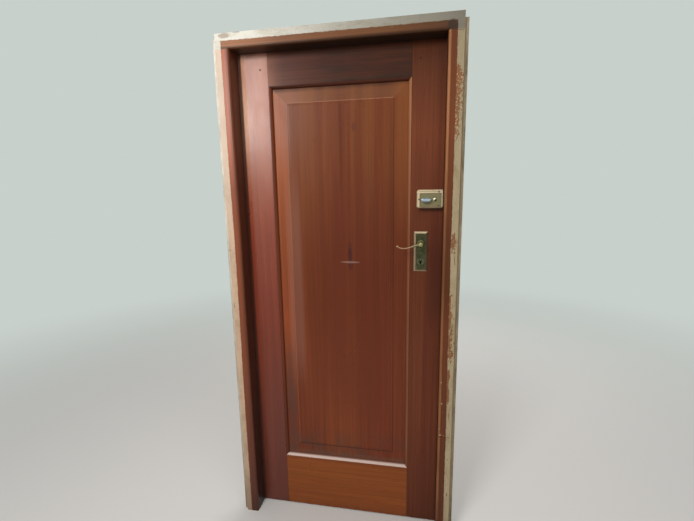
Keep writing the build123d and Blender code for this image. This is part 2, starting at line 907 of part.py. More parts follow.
snib_x = night_right - 29.5
snib_low = night_height + 2
night_snib = rod_y(snib_x, snib_low, night_front - 3, night_front + 0.4, snib_radius)
night_snib += block(
    snib_x - snib_slot / 2 + sliding,
    snib_x + snib_slot / 2 - sliding,
    night_front,
    cavity_front + 2.5,
    snib_low - 2,
    snib_low + 2,
)
night_snib += block(
    snib_x - 4, snib_x + 4, cavity_front + sliding, cavity_front + 2.5, snib_low - 4, snib_low + 4
)
night_case -= block(
    snib_x - snib_slot / 2,
    snib_x + snib_slot / 2,
    night_front - 1,
    cavity_front + 1,
    snib_low - 2 - sliding,
    snib_low + 2 + snib_travel + sliding,
)

night_post = night_bolt_left - 24.5
night_post_z = night_height - 4
night_case += block(
    night_post - 3, night_post, cavity_front - 1, night_bolt_y + 10, night_post_z - 4, night_post_z + 4
)
night_latch_spring = coil(
    night_post + spring_wire + 0.2,
    night_bolt_left - spring_wire - 0.2,
    night_bolt_y + 6,
    night_post_z,
    4,
    spring_wire,
    8,
)

cylinder_head_front = leaf_back + cylinder_ring
cylinder_body = rod_y(night_x, night_height, leaf_front + 5, cylinder_head_front, cylinder_radius)
cylinder_body += rod_y(
    night_x,
    night_height,
    cylinder_head_front,
    cylinder_head_front + cylinder_head,
    cylinder_head_radius,
)
cylinder_body -= rod_y(
    night_x, night_height, leaf_front, cylinder_head_front + 10, plug_radius + running
)
cylinder_ring_piece = rod_y(
    night_x, night_height, leaf_back, cylinder_head_front, cylinder_ring_radius
)
cylinder_ring_piece -= rod_y(
    night_x, night_height, leaf_back, cylinder_head_front, cylinder_radius + 0.5
)
cylinder_plug = rod_y(
    night_x,
    night_height,
    leaf_front + 6,
    cylinder_head_front + cylinder_head + 0.6,
    plug_radius,
)
cylinder_plug -= block(
    night_x - 0.9,
    night_x + 0.9,
    cylinder_head_front - 12,
    cylinder_head_front + cylinder_head + 2,
    night_height - 4.5,
    night_height + 3.5,
)
tailbar_front = cam_back + 3
tailbar_zone = (
    night_x - tailbar_width / 2,
    night_x + tailbar_width / 2,
    tailbar_front,
    leaf_front + 14,
    night_height - tailbar_thickness / 2,
    night_height + tailbar_thickness / 2,
)
cylinder_tailbar = block(*tailbar_zone)
cylinder_plug -= block(*tailbar_zone)
night_base -= rod_y(night_x, night_height, base_front, leaf_front, 8)
lock_stile -= rod_y(night_x, night_height, leaf_front, leaf_back, cylinder_radius + 0.5)
cylinder_screws = []
for across in (-1, 1):
    x = night_x + across * (cylinder_radius + plug_radius) / 2
    place = ((x, base_front, night_height), (0, -1, 0), 32, 3.4, 1.8, 1.3)
    cylinder_screws.append(screw(*place))
    night_base -= screw_hole(*place)
    cylinder_body -= screw_hole(*place)

# Strikes let into the right jamb
strike_screws = []
strike_middle = (deadbolt_bottom + latch_top) / 2
strike_bottom = strike_middle - strike_height / 2
strike_top = strike_middle + strike_height / 2
lock_strike_zone = (
    rebate_edge,
    rebate_edge + strike_thickness,
    leaf_middle - strike_width / 2,
    leaf_middle + strike_width / 2,
    strike_bottom,
    strike_top,
)
lock_pockets = [
    block(
        rebate_edge,
        rebate_edge + pocket_depth,
        bolt_front - 1,
        bolt_back + 1,
        bottom - 1.5,
        top + 1.5,
    )
    for bottom, top in ((latch_bottom, latch_top), (deadbolt_bottom, deadbolt_top))
]
lock_strike = block(*lock_strike_zone) - lock_pockets
right_jamb -= [block(*lock_strike_zone), *lock_pockets]
night_strike_zone = (
    sight_edge,
    sight_edge + strike_thickness,
    night_bolt_y - 7,
    night_bolt_y + night_bolt_thickness + 4,
    night_bolt_middle - night_strike_height / 2,
    night_bolt_middle + night_strike_height / 2,
)
night_pocket = block(
    sight_edge,
    sight_edge + pocket_depth,
    night_bolt_y - 1,
    night_bolt_y + night_bolt_thickness + 1,
    night_bolt_bottom - 1.5,
    night_bolt_top + 1.5,
)
night_strike = block(*night_strike_zone) - night_pocket
right_jamb -= [block(*night_strike_zone), night_pocket]
strike_screw_inset = 8.0
strike_screw_length = 24.0
for face_x, y, z in (
    (rebate_edge, leaf_middle, strike_bottom + strike_screw_inset),
    (rebate_edge, leaf_middle, strike_top - strike_screw_inset),
    (sight_edge, night_bolt_y + 6, night_strike_zone[4] + strike_screw_inset),
    (sight_edge, night_bolt_y + 6, night_strike_zone[5] - strike_screw_inset),
):
    place = ((face_x, y, z), (-1, 0, 0), strike_screw_length)
    strike_screws.append(screw(*place))
    right_jamb -= screw_hole(*place)
    if face_x == rebate_edge:
        lock_strike -= screw_hole(*place)
    else:
        night_strike -= screw_hole(*place)

pieces = {
    "left_jamb": left_jamb,
    "right_jamb": right_jamb,
    "head": head,
    "left_batten": left_batten,
    "right_batten": right_batten,
    "hinge_stile": hinge_stile,
    "lock_stile": lock_stile,
    "top_rail": top_rail,
    "bottom_rail": bottom_rail,
    "panel": panel,
    **beads,
    **hinges,
    "lock_case": lock_case,
    "lock_cover": lock_cover,
    "lock_forend": lock_forend,
    "lock_follower": lock_follower,
    "lock_latch_bolt": latch_bolt,
    "lock_dead_bolt": dead_bolt,
    "lock_latch_spring": lock_latch_spring,
    "lock_strike": lock_strike,
    "front_lock_plate": front_plate,
    "back_lock_plate": to_back(front_plate),
    "front_lever": front_lever,
    "back_lever": to_back(front_lever),
    "spindle": spindle,
    "night_latch_case": night_case,
    "night_latch_base": night_base,
    "night_latch_bolt": night_bolt,
    "night_latch_spring": night_latch_spring,
    "night_latch_knob": night_knob,
    "night_latch_snib": night_snib,
    "night_strike": night_strike,
    "cylinder_body": cylinder_body,
    "cylinder_ring": cylinder_ring_piece,
    "cylinder_plug": cylinder_plug,
    "cylinder_tailbar": cylinder_tailbar,
}
groups = {
    "tenon_pegs": tenon_pegs,
    "frame_hinge_screws": frame_hinge_screws,
    "leaf_hinge_screws": leaf_hinge_screws,
    "lock_levers": lock_levers,
    "lock_screws": lock_screws,
    "strike_screws": strike_screws,
    "night_latch_screws": night_screws,
    "cylinder_screws": cylinder_screws,
}
os.makedirs("parts", exist_ok=True)
for name, shape in pieces.items():
    export_step(single(shape), f"parts/{name}.step")
for name, members in groups.items():
    export_step(Compound(children=[single(member) for member in members]), f"parts/{name}.step")
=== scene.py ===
"""A panelled timber front door in its frame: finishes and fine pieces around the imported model."""
import json

import bpy
import numpy as np
from mathutils import Matrix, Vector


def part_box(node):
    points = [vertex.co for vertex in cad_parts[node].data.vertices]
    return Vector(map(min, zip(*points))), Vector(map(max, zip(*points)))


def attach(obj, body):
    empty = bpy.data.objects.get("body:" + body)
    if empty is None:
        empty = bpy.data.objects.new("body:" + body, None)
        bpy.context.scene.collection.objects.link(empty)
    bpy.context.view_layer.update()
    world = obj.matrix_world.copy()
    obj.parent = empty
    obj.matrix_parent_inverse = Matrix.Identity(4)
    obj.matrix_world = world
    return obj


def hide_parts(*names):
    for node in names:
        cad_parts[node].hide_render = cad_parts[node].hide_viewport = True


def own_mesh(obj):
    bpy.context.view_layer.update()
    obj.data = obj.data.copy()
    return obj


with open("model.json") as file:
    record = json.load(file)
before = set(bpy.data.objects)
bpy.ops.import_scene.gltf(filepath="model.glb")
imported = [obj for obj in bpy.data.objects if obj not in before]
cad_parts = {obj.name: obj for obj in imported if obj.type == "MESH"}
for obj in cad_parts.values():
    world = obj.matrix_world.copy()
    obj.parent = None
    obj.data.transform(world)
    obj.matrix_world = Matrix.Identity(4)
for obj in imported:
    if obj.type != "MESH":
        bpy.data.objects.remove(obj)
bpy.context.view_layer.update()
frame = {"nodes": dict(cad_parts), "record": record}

bl_info = {
    "name": "Panelled front door",
    "version": (1, 0, 0),
    "blender": (4, 5, 0),
    "location": "View3D > Sidebar > Door",
    "description": "Finishes and fine pieces for a panelled front door in its frame",
    "category": "Object",
}

MM = 0.001


def span(box, axis):
    """Where a box starts and ends along an axis, in metres."""
    return tuple(float(corner["XYZ".index(axis)]) for corner in box)


def joint_entry(name):
    """A joint's entry in the record."""
    return next(j for j in frame["record"]["behaviour"]["joints"] if j["name"] == name)


SIGHT_EDGE, OUTSIDE = span(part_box("right_jamb"), "X")
JAMB_FACE = OUTSIDE - SIGHT_EDGE
HEAD_FOOT, TOP = span(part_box("head"), "Z")
OPENING_EDGE, LEAF_EDGE = span(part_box("lock_stile"), "X")
LEAF_MIDDLE = sum(span(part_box("lock_stile"), "Y")) / 2
OPENING_TOP = span(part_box("top_rail"), "Z")[0]
OPENING_BOTTOM = span(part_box("bottom_rail"), "Z")[1]
BEVEL_REACH = 67 * MM
FIELD_EDGE = OPENING_EDGE - BEVEL_REACH
FIELD_TOP = OPENING_TOP - BEVEL_REACH
FIELD_BOTTOM = OPENING_BOTTOM + BEVEL_REACH
LEVER_AXIS = tuple(joint_entry("handle_turn")["pos_m"][k] for k in (0, 2))
KEYHOLE = (LEVER_AXIS[0], LEVER_AXIS[1] - 72 * MM)
HEAD_BAND_SCALE = 24.8 / 28.5  # the painted band's width on a jamb, over that on the head


def srgb(red, green, blue):
    """A linear colour from 8-bit display values."""
    values = np.array([red, green, blue]) / 255
    return tuple(np.where(values <= 0.04045, values / 12.92, ((values + 0.055) / 1.055) ** 2.4))


def tint(tone, *factors):
    """A colour times one factor, or one for each channel."""
    return tuple(np.clip(np.array(tone) * np.array(factors), 0, 1))


def colour(name, description, default):
    """A colour property."""
    return bpy.props.FloatVectorProperty(
        name=name, description=description, default=default, subtype="COLOR", size=3, min=0, max=1
    )


def length(name, description, default):
    """A length property, in metres."""
    return bpy.props.FloatProperty(
        name=name, description=description, default=default, subtype="DISTANCE", unit="LENGTH"
    )


def factor(name, description, default):
    """A plain factor."""
    return bpy.props.FloatProperty(
        name=name, description=description, default=default, subtype="FACTOR", min=0, max=1
    )


class TimberSettings(bpy.types.PropertyGroup):
    """The varnished timber of the leaf and the frame's inner margin."""

    hinge_stile: colour("Hinge stile", "Mean tone of the hinge stile", srgb(111, 48, 29))
    lock_stile: colour("Lock stile", "Mean tone of the lock stile", srgb(104, 54, 32))
    top_rail: colour("Top rail", "Mean tone of the top rail", srgb(81, 44, 31))
    bottom_rail: colour("Bottom rail", "Mean tone of the bottom rail", srgb(130, 68, 33))
    panel: colour("Panel", "Mean tone of the panel", srgb(104, 50, 28))
    bead: colour("Beads", "Mean tone of the beads round the panel", srgb(104, 52, 32))
    left_margin: colour("Left margin", "The varnished margin of the left jamb", srgb(138, 74, 46))
    right_margin: colour("Right margin", "The varnished margin of the right jamb", srgb(96, 51, 31))
    head_margin: colour("Head margin", "The varnished margin of the head", srgb(119, 76, 43))
    # this colour serves as rubbed timber and as a painted highlight on the inner arris
    worn: colour("Worn arris", "Rubbed timber along the frame's inner arris", srgb(151, 101, 63))
    # this colour is a painted sheen at the top of the hinge stile
    sheen_tone: colour("Bloom", "Cloudy old varnish at the top of the hinge stile", srgb(166, 102, 70))
    roughness: factor("Varnish roughness", "How dull the old varnish is", 0.32)


class PaintSettings(bpy.types.PropertyGroup):
    """The cream paint round the outside of the frame."""

    # the three creams are one paint, lighter or darker on each member as painted light and shade
    left: colour("Left jamb", "The paint of the left jamb", srgb(202, 170, 142))
    right: colour("Right jamb", "The paint of the right jamb", srgb(176, 158, 126))
    head: colour("Head", "The paint of the head", srgb(217, 212, 199))
    bare: colour("Bare timber", "What shows where the paint has chipped off", srgb(142, 92, 56))
    jamb_band: length("Jamb band", "Width of the painted band on a jamb", 24.2 * MM)
    side_depth: length("Side depth", "How far the paint runs back round the edge", 13 * MM)


class MetalSettings(bpy.types.PropertyGroup):
    """The metalwork."""

    brass: colour("Brass", "Worn brass on edges and the lever", srgb(176, 152, 120))
    tarnish: colour("Tarnish", "The dull face of the backplates", srgb(102, 100, 74))
    enamel: colour("Enamel", "The night latch's case", srgb(217, 197, 160))
    enamel_recess: colour("Recess", "The sunk front of the night latch", srgb(134, 125, 89))
    steel: colour("Steel", "Bolts, screws and hinges", srgb(150, 148, 144))


class LeverSettings(bpy.types.PropertyGroup):
    """The slim swan-neck levers."""

    root: length("Root thickness", "Half the lever's thickness where it leaves the neck", 4.8 * MM)
    waist: length("Waist thickness", "Half the lever's thickness along its run", 2.5 * MM)
    curl: length("Curl radius", "Radius of the rounded tip", 5.0 * MM)


class StageSettings(bpy.types.PropertyGroup):
    """The floor, the lamps and the world."""

    floor: colour("Floor", "The plain pale floor", srgb(214, 211, 206))
    backdrop: colour("Backdrop", "What the camera sees behind the door", srgb(200, 208, 203))
    ambient: factor("Ambient", "Light from all round", 0.36)


SETTINGS = {
    "door_timber": TimberSettings,
    "door_paint": PaintSettings,
    "door_metal": MetalSettings,
    "door_lever": LeverSettings,
    "door_stage": StageSettings,
}


def feed(tree, socket, value):
    """Links a socket, or sets it."""
    if isinstance(value, bpy.types.NodeSocket):
        tree.links.new(value, socket)
    else:
        flat = socket.type == "RGBA" and len(value) == 3
        socket.default_value = (*value, 1.0) if flat else value


def wire(tree, kind, inputs=(), **settings):
    """A node with its inputs fed, from the first on or by name."""
    made = tree.nodes.new(kind)
    for key, value in settings.items():
        setattr(made, key, value)
    for key, value in inputs.items() if isinstance(inputs, dict) else enumerate(inputs):
        feed(tree, made.inputs[key], value)
    return made


class Finish:
    """A material under construction, with short calls for the nodes that the finishes share."""

    def __init__(self, name):
        self.material = bpy.data.materials.new(name)
        self.material.use_nodes = True
        self.tree = self.material.node_tree
        self.tree.nodes.clear()
        self.shader = self.node("ShaderNodeBsdfPrincipled")
        self.output = self.node("ShaderNodeOutputMaterial", [self.shader.outputs[0]])
        self.place = self.node("ShaderNodeTexCoord").outputs["Object"]
        self.x, self.y, self.z = self.node("ShaderNodeSeparateXYZ", [self.place]).outputs
        self.axis = {"X": self.x, "Z": self.z}

    def node(self, kind, inputs=(), **settings):
        """A node of this material, with its inputs fed."""
        return wire(self.tree, kind, inputs, **settings)

    def math(self, operation, *values):
        return self.node("ShaderNodeMath", values, operation=operation).outputs[0]

    def plus(self, first, second):
        return self.math("ADD", first, second)

    def minus(self, first, second):
        return self.math("SUBTRACT", first, second)

    def scaled(self, value, by, plus):
        return self.math("MULTIPLY_ADD", value, by, plus)

    def both(self, *factors):
        """The product of factors."""
        result = factors[0]
        for other in factors[1:]:
            result = self.math("MULTIPLY", result, other)
        return result

    def beside(self, x=0.0):
        """Distance to either side of an upright line on the door's face."""
        return self.math("ABSOLUTE", self.minus(self.x, x) if x else self.x)

    def height(self, top=TOP):
        """How far up, as a share of the frame's height or of another."""
        return self.math("DIVIDE", self.z, top)

    def mix(self, amount, first, second, blend="MIX"):
        made = self.node("ShaderNodeMix", data_type="RGBA", blend_type=blend)
        sockets = {socket.identifier: socket for socket in made.inputs}
        for name, value in (("Factor_Float", amount), ("A_Color", first), ("B_Color", second)):
            feed(self.tree, sockets[name], value)
        return next(s for s in made.outputs if s.identifier == "Result_Color")

    def over(self, tone, layer, *factors):
        """A tone with a layer over it, as far as the product of factors says."""
        return self.mix(self.both(*factors), tone, layer)

    def times(self, tone, other):
        """A tone times another."""
        return self.mix(1.0, tone, other, "MULTIPLY")

    def cloud(self, mapping, scale, detail, roughness, warp=0.0, **settings):
        """Noise on the object's own coordinates, moved and scaled by a mapping."""
        mapped = self.node("ShaderNodeMapping", {"Vector": self.place, **mapping}, **settings)
        inputs = {"Vector": mapped.outputs[0], "Scale": scale, "Detail": detail}
        inputs.update({"Roughness": roughness, "Distortion": warp})
        return self.node("ShaderNodeTexNoise", inputs).outputs[0]

    def noise(self, scale, stretch=(1, 1, 1), seed=0.0, detail=3.0, roughness=0.55, warp=0.0):
        """Noise shrunk or stretched along each axis."""
        mapping = {"Scale": stretch, "Location": (seed * 1.7, seed * 0.9, seed * 2.3)}
        return self.cloud(mapping, scale, detail, roughness, warp)

    def flecks(self, scale, turn, long, seed):
        """Noise drawn out along a line that leans by turn from upright, on the door's face."""
        mapping = {"Rotation": (0, turn, 0), "Scale": (1, 1, long), "Location": (seed, 0, 2 * seed)}
        return self.cloud(mapping, scale, 4.0, 0.55, vector_type="TEXTURE")

    def ramp(self, value, *stops):
        """A colour ramp through (place, colour) stops, or a grey one through (place, number)."""
        made = self.node("ShaderNodeValToRGB", [value])
        elements = made.color_ramp.elements
        while len(elements) < len(stops):
            elements.new(0.5)
        for element, (place, tone) in zip(elements, stops):
            element.position = place
            element.color = (*((tone,) * 3 if isinstance(tone, (int, float)) else tone), 1.0)
        return made.outputs[0]

    def rise(self, value, low, high):
        """0 below low, 1 above high, smooth between. With high under low it falls instead."""
        inputs = {"Value": value, "From Min": min(low, high), "From Max": max(low, high)}
        inputs["To Min"], inputs["To Max"] = (1.0, 0.0) if high < low else (0.0, 1.0)
        return self.node(
            "ShaderNodeMapRange", inputs, interpolation_type="SMOOTHSTEP"
        ).outputs[0]

    def line(self, value, place, half_width, soft):
        """1 where a value is near a place, 0 away from it."""
        away = self.math("ABSOLUTE", self.minus(value, place))
        return self.rise(away, half_width + soft, half_width)

    def within(self, value, low, high, soft=MM):
        """1 between two places, 0 outside them."""
        return self.both(self.rise(value, low - soft, low), self.rise(value, high + soft, high))

    def squares(self, across, along):
        """The sum of two squares."""
        return self.plus(self.math("POWER", across, 2.0), self.math("POWER", along, 2.0))

    def distance(self, x, z):
        """How far from a line through the door."""
        return self.math("SQRT", self.squares(self.minus(self.x, x), self.minus(self.z, z)))

    def spot(self, x, z, half_width, half_height, soft=0.35, rough=None):
        """A rounded patch on the face of the door, 1 inside and 0 outside."""
        across = self.math("DIVIDE", self.minus(self.x, x), half_width)
        along = self.math("DIVIDE", self.minus(self.z, z), half_height)
        reach = self.squares(across, along)
        if rough is not None:
            reach = self.plus(reach, rough)
        return self.rise(reach, 1.0 + soft, 1.0 - soft)

    def relief(self, height, distance, strength=1.0):
        """A bump of a height in metres."""
        inputs = {"Strength": strength, "Distance": distance, "Height": height}
        self.set(Normal=self.node("ShaderNodeBump", inputs).outputs[0])

    def set(self, **values):
        """Shader inputs by name, with underscores for spaces."""
        for name, value in values.items():
            feed(self.tree, self.shader.inputs[name.replace("_", " ")], value)
        return self.material


def grain_stretch(along, ratio):
    """How coordinates shrink along the grain, which runs along X or Z."""
    return (ratio, 1, 1) if along == "X" else (1, 1, ratio)


def timber_tone(finish, board, along, seed):
    """Colour and fibre height of one varnished board: wide bands that run from redder to yellower,
    streaks, fine grain lines and dark pores, all drawn out along the grain."""
    bands = finish.noise(7.0, grain_stretch(along, 0.06), seed, 2.5, 0.5, 0.15)
    streaks = finish.noise(38.0, grain_stretch(along, 0.02), seed + 1, 4.0, 0.6, 0.3)
    lines = finish.noise(210.0, grain_stretch(along, 0.008), seed + 2, 3.0, 0.6)
    pores = finish.noise(620.0, grain_stretch(along, 0.022), seed + 3, 2.0, 0.5)
    redder, yellower = tint(board, 0.92, 0.82, 0.86), tint(board, 1.12, 1.18, 1.04)
    tone = finish.ramp(bands, (0.34, redder), (0.50, board), (0.66, yellower))
    tone = finish.times(tone, finish.ramp(streaks, (0.30, 0.86), (0.50, 0.98), (0.70, 1.10)))
    tone = finish.times(tone, finish.ramp(lines, (0.30, 0.82), (0.68, 1.16)))
    return finish.over(tone, tint(board, 0.35), finish.rise(pores, 0.62, 0.72), 0.45), lines


def weathered(finish, tone):
    """The outer side's varnish, dried out and paler in clouds, most of all towards the foot."""
    cloud = finish.noise(9.0, (1, 1, 0.3), 91, 6.0, 0.62)
    low = finish.ramp(finish.rise(finish.z, 0.9, 0.05), (0.0, 0.18), (1.0, 0.5))
    return finish.over(tone, srgb(150, 104, 72), finish.rise(cloud, 0.42, 0.66), low)


def marked(finish, tone, plain, marks):
    """A tone with marks on the room side, and a plain one on the outer side."""
    for mark in marks:
        tone = mark(finish, tone)
    return finish.mix(finish.rise(finish.y, LEAF_MIDDLE + MM, LEAF_MIDDLE - MM), plain, tone)


def varnished(name, timber, board, gloss, along, seed, *marks):
    """Old varnish over a board, with any marks painted over its tone on the room side. The leaf's
    long edges are rubbed paler and its foot is dirtier."""
    finish = Finish(name)
    tone, lines = timber_tone(finish, board, along, seed)
    scuffs = finish.noise(45.0, (1, 1, 0.4), seed + 6, 5.0, 0.65)
    edge = finish.rise(finish.beside(), LEAF_EDGE - 2.5 * MM, LEAF_EDGE - 0.5 * MM)
    paler = tint(board, 1.9, 1.9, 1.7)
    tone = finish.over(tone, paler, edge, finish.rise(scuffs, 0.42, 0.58), 0.6)
    foot = finish.rise(finish.z, 40 * MM, 8 * MM)
    tone = finish.over(tone, tint(board, 0.6), foot, finish.rise(scuffs, 0.35, 0.65), 0.5)
    tone = marked(finish, tone, weathered(finish, tone), marks)
    haze = finish.noise(5.0, (1, 1, 0.5), seed + 5, 5.0, 0.65)
    specks = finish.noise(85.0, (1, 1, 1), seed + 8, 3.0, 0.6)
    finish.relief(finish.scaled(specks, 0.5, finish.both(lines, 0.6)), 0.12 * MM, 0.7)
    dull = timber.roughness
    return finish.set(
        Base_Color=tone,
        Roughness=finish.ramp(haze, (0.3, dull - 0.06), (0.7, dull + 0.08)),
        Specular_IOR_Level=gloss,
    )


def light_fade(axis, *stops):
    """Painted light and shade: a mark that multiplies the tone along an axis, by stops of place in
    metres and factor.
    """
    low, high = stops[0][0], stops[-1][0]
    shares = [((place - low) / (high - low), amount) for place, amount in stops]

    def mark(finish, tone):
        share = finish.math("DIVIDE", finish.minus(finish.axis[axis], low), high - low)
        return finish.times(tone, finish.ramp(share, *shares))

    return mark


def easing(axis, low, high, amount):
    """A share that rises to an amount between two places on an axis."""
    return lambda finish: finish.both(finish.rise(finish.axis[axis], low, high), amount)


def by_height(*stops):
    """A share for each part of the frame's height."""
    return lambda finish: finish.ramp(finish.height(), *stops)


def painted_sheen_and_shadow(finish, tone):
    """Painted sheen near the top of the hinge stile and the rail beside it, palest at the stile's
    outer margin, with a painted shadow against the jamb."""
    sheen_tone = bpy.context.scene.door_timber.sheen_tone
    cloud = finish.noise(14.0, (1, 1, 0.35), 27, 6.0, 0.62)
    # the painted sheen is palest at the stile's outer margin, where the jamb hides the lamp's
    # reflection
    margin = finish.rise(finish.x, 40 * MM - SIGHT_EDGE, 20 * MM - SIGHT_EDGE)
    high = finish.rise(finish.z, 1.4, 1.7)
    pale = finish.over(sheen_tone, tint(sheen_tone, 2.0, 3.5, 5.2), margin, high)
    reach = finish.both(finish.rise(finish.x, -0.21, -0.34), finish.rise(finish.z, 1.25, 1.80))
    tone = finish.over(tone, pale, reach, finish.ramp(cloud, (0.3, 0.4), (0.7, 1.0)))
    # painted shadow of the jamb's reveal along the leaf's edge
    dirt = finish.rise(finish.x, 15 * MM - SIGHT_EDGE, 11 * MM - SIGHT_EDGE)
    return finish.over(tone, srgb(62, 33, 25), dirt, 0.85)


def corner_shade(finish, tone):
    """Painted shade along the joints between stiles, rails and beads."""
    wobble = finish.scaled(finish.noise(60.0, seed=7), 6 * MM, -3 * MM)
    beside = finish.plus(finish.beside(), wobble)
    near = finish.line(beside, OPENING_EDGE, 0.8 * MM, 2.5 * MM)
    return finish.over(tone, srgb(40, 24, 18), near, 0.4)


def lock_stile_shade(finish, tone):
    """Painted shade on the lock stile beside the lever's plate, towards the jamb."""
    beside = finish.both(finish.rise(finish.x, 0.34, 0.375), finish.line(finish.z, 1.13, 0.08, 0.2))
    return finish.over(tone, srgb(58, 28, 20), beside, 0.4)


def top_rail_stain_and_shade(finish, tone):
    """The top rail's dull, dark right part, stained and with painted shade, and smears along the
    grain.
    """
    smear = finish.noise(26.0, (0.12, 1, 1), 14, 5.0, 0.65)
    # dark stain and painted shade on the rail's right part
    side = finish.rise(finish.x, -0.22, 0.02)
    return finish.over(
        tone, srgb(48, 35, 27), side, finish.ramp(smear, (0.38, 0.25), (0.62, 0.85))
    )


def bevel_painted_light(finish, tone):
    """Painted light on the panel's left bevel, most of all high up, and on the left end of its top
    bevel, which is evener and duller.
    """

    def outside(first, second):
        return finish.rise(finish.minus(first, second), -1.5 * MM, 1.5 * MM)

    left = finish.minus(-FIELD_EDGE, finish.x)
    right = finish.minus(finish.x, FIELD_EDGE)
    above = finish.minus(finish.z, FIELD_TOP)
    # painted light on the left bevel, strongest high up
    paler = finish.ramp(
        finish.height(OPENING_TOP),
        (0.27, (1.0, 1.0, 1.0)),
        (0.48, (1.75, 1.9, 1.85)),
        (0.70, (1.9, 2.1, 1.95)),
        (0.84, (2.3, 2.6, 2.4)),
        (0.97, (1.9, 2.1, 2.0)),
    )
    beside = finish.rise(left, -2 * MM, 6 * MM)
    tone = finish.over(tone, finish.times(tone, paler), beside, outside(left, above))
    # the top bevel's even tone, with painted light towards its left end
    even = finish.ramp(
        finish.scaled(finish.x, 2.0, 0.5),
        (0.1, srgb(146, 100, 80)),
        (0.26, srgb(123, 80, 58)),
        (0.42, srgb(108, 67, 46)),
        (0.9, srgb(104, 65, 44)),
    )
    top = finish.both(finish.rise(above, -MM, 2 * MM), outside(above, left), outside(above, right))
    return finish.over(tone, even, top, 0.65)


PANEL_SPOTS = (  # place, half sizes, softness, amount and tone
    (0.036, 1.254, 0.009, 0.024, 0.8, 0.35, srgb(58, 34, 38)),
    (0.036, 1.222, 0.009, 0.028, 0.7, 0.62, srgb(54, 30, 34)),
    (0.039, 1.178, 0.011, 0.018, 0.8, 0.45, srgb(58, 34, 34)),
    (0.058, 1.735, 0.008, 0.016, 0.6, 0.45, srgb(78, 40, 40)),
)


def panel_marks(finish, tone):
    """Smears on the panel's top bevel, painted shadow under the top bead, dull smudges at its foot
    and left, yellower and warmer parts above, a darker middle and the stain with its scrape."""
    smear = finish.noise(30.0, (0.16, 1, 1), 21, 5.0, 0.65)
    top = finish.rise(finish.z, FIELD_TOP - 4 * MM, FIELD_TOP + 3 * MM)
    tone = finish.over(tone, srgb(98, 68, 50), top, finish.rise(smear, 0.45, 0.66), 0.55)
    tone = bevel_painted_light(finish, tone)
    # painted shadow under the top bead
    bead_shadow = finish.rise(finish.z, OPENING_TOP - 30 * MM, OPENING_TOP - 14 * MM)
    tone = finish.over(tone, srgb(64, 40, 30), bead_shadow, 0.7)
    down = finish.rise(finish.z, FIELD_BOTTOM + 110 * MM, FIELD_BOTTOM - 20 * MM)
    smudge = finish.rise(finish.noise(17.0, (0.5, 1, 0.5), 33, 5.0, 0.6), 0.34, 0.66)
    tone = finish.over(tone, srgb(76, 58, 50), down, smudge, 0.75)
    dusty = finish.rise(finish.z, OPENING_BOTTOM + 44 * MM, OPENING_BOTTOM + 16 * MM)
    tone = finish.over(tone, srgb(108, 78, 62), dusty, 0.5)
    left = finish.both(
        finish.line(finish.x, -0.247, 14 * MM, 16 * MM),
        finish.rise(finish.z, 0.98, 0.62),
        finish.ramp(smudge, (0.0, 0.4), (1.0, 0.9)),
    )
    tone = finish.over(tone, srgb(88, 62, 52), left, 0.7)
    streaky = finish.rise(finish.noise(16.0, (1, 1, 0.03), 41, 3.0, 0.55), 0.30, 0.76)
    tone = finish.over(tone, srgb(142, 90, 50), finish.rise(finish.z, 0.95, 1.75), streaky, 0.32)
    warm = finish.both(finish.rise(finish.x, 0.17, 0.25), finish.rise(finish.z, 1.15, 1.75))
    tone = finish.over(tone, srgb(136, 82, 44), warm, 0.5)
    centre = finish.spot(0.05, 1.02, 0.20, 0.48, 0.9)
    tone = finish.over(tone, srgb(94, 42, 27), centre, finish.noise(12.0, (1, 1, 0.1), 47))
    haze = finish.both(
        finish.line(finish.x, -0.205, 18 * MM, 26 * MM), finish.line(finish.z, 1.1, 0.25, 0.3)
    )
    tone = finish.over(tone, srgb(150, 106, 90), haze, 0.3)
    wobble = finish.scaled(finish.noise(160.0, seed=3), 1.2, -0.6)
    for *shape, amount, layer in PANEL_SPOTS:
        tone = finish.over(tone, layer, finish.spot(*shape, wobble), amount)
    scrape = finish.spot(0.036, 1.192, 0.038, 0.0042, 0.6, finish.both(wobble, 0.5))
    tone = finish.over(tone, srgb(178, 150, 140), scrape, 0.3)
    return field_edge_light_and_shade(finish, tone)


def field_edge_light_and_shade(finish, tone):
    """The raised field's worn edges, with painted highlights at the top and left and painted shade
    at the right and foot.
    """
    across = finish.rise(finish.beside(), FIELD_EDGE + MM, FIELD_EDGE)
    upright = finish.within(finish.z, FIELD_BOTTOM, FIELD_TOP)
    broken = finish.ramp(finish.noise(40.0, seed=51), (0.3, 0.55), (0.6, 1.0))
    # painted highlights along the top and left edges
    top = finish.line(finish.z, FIELD_TOP, 0.7 * MM, 0.9 * MM)
    tone = finish.over(tone, srgb(204, 148, 118), top, across, broken, 0.34)
    left = finish.line(finish.x, -FIELD_EDGE, 0.5 * MM, 0.8 * MM)
    tone = finish.over(tone, srgb(196, 124, 86), left, upright, broken, 0.4)
    # painted shade along the right edge and the foot
    right = finish.line(finish.x, FIELD_EDGE, 1.2 * MM, 1.5 * MM)
    tone = finish.over(tone, srgb(66, 30, 22), right, upright, 0.6)
    foot = finish.line(finish.z, FIELD_BOTTOM, 1.4 * MM, 2.5 * MM)
    return finish.over(tone, srgb(52, 34, 28), foot, across, 0.65)


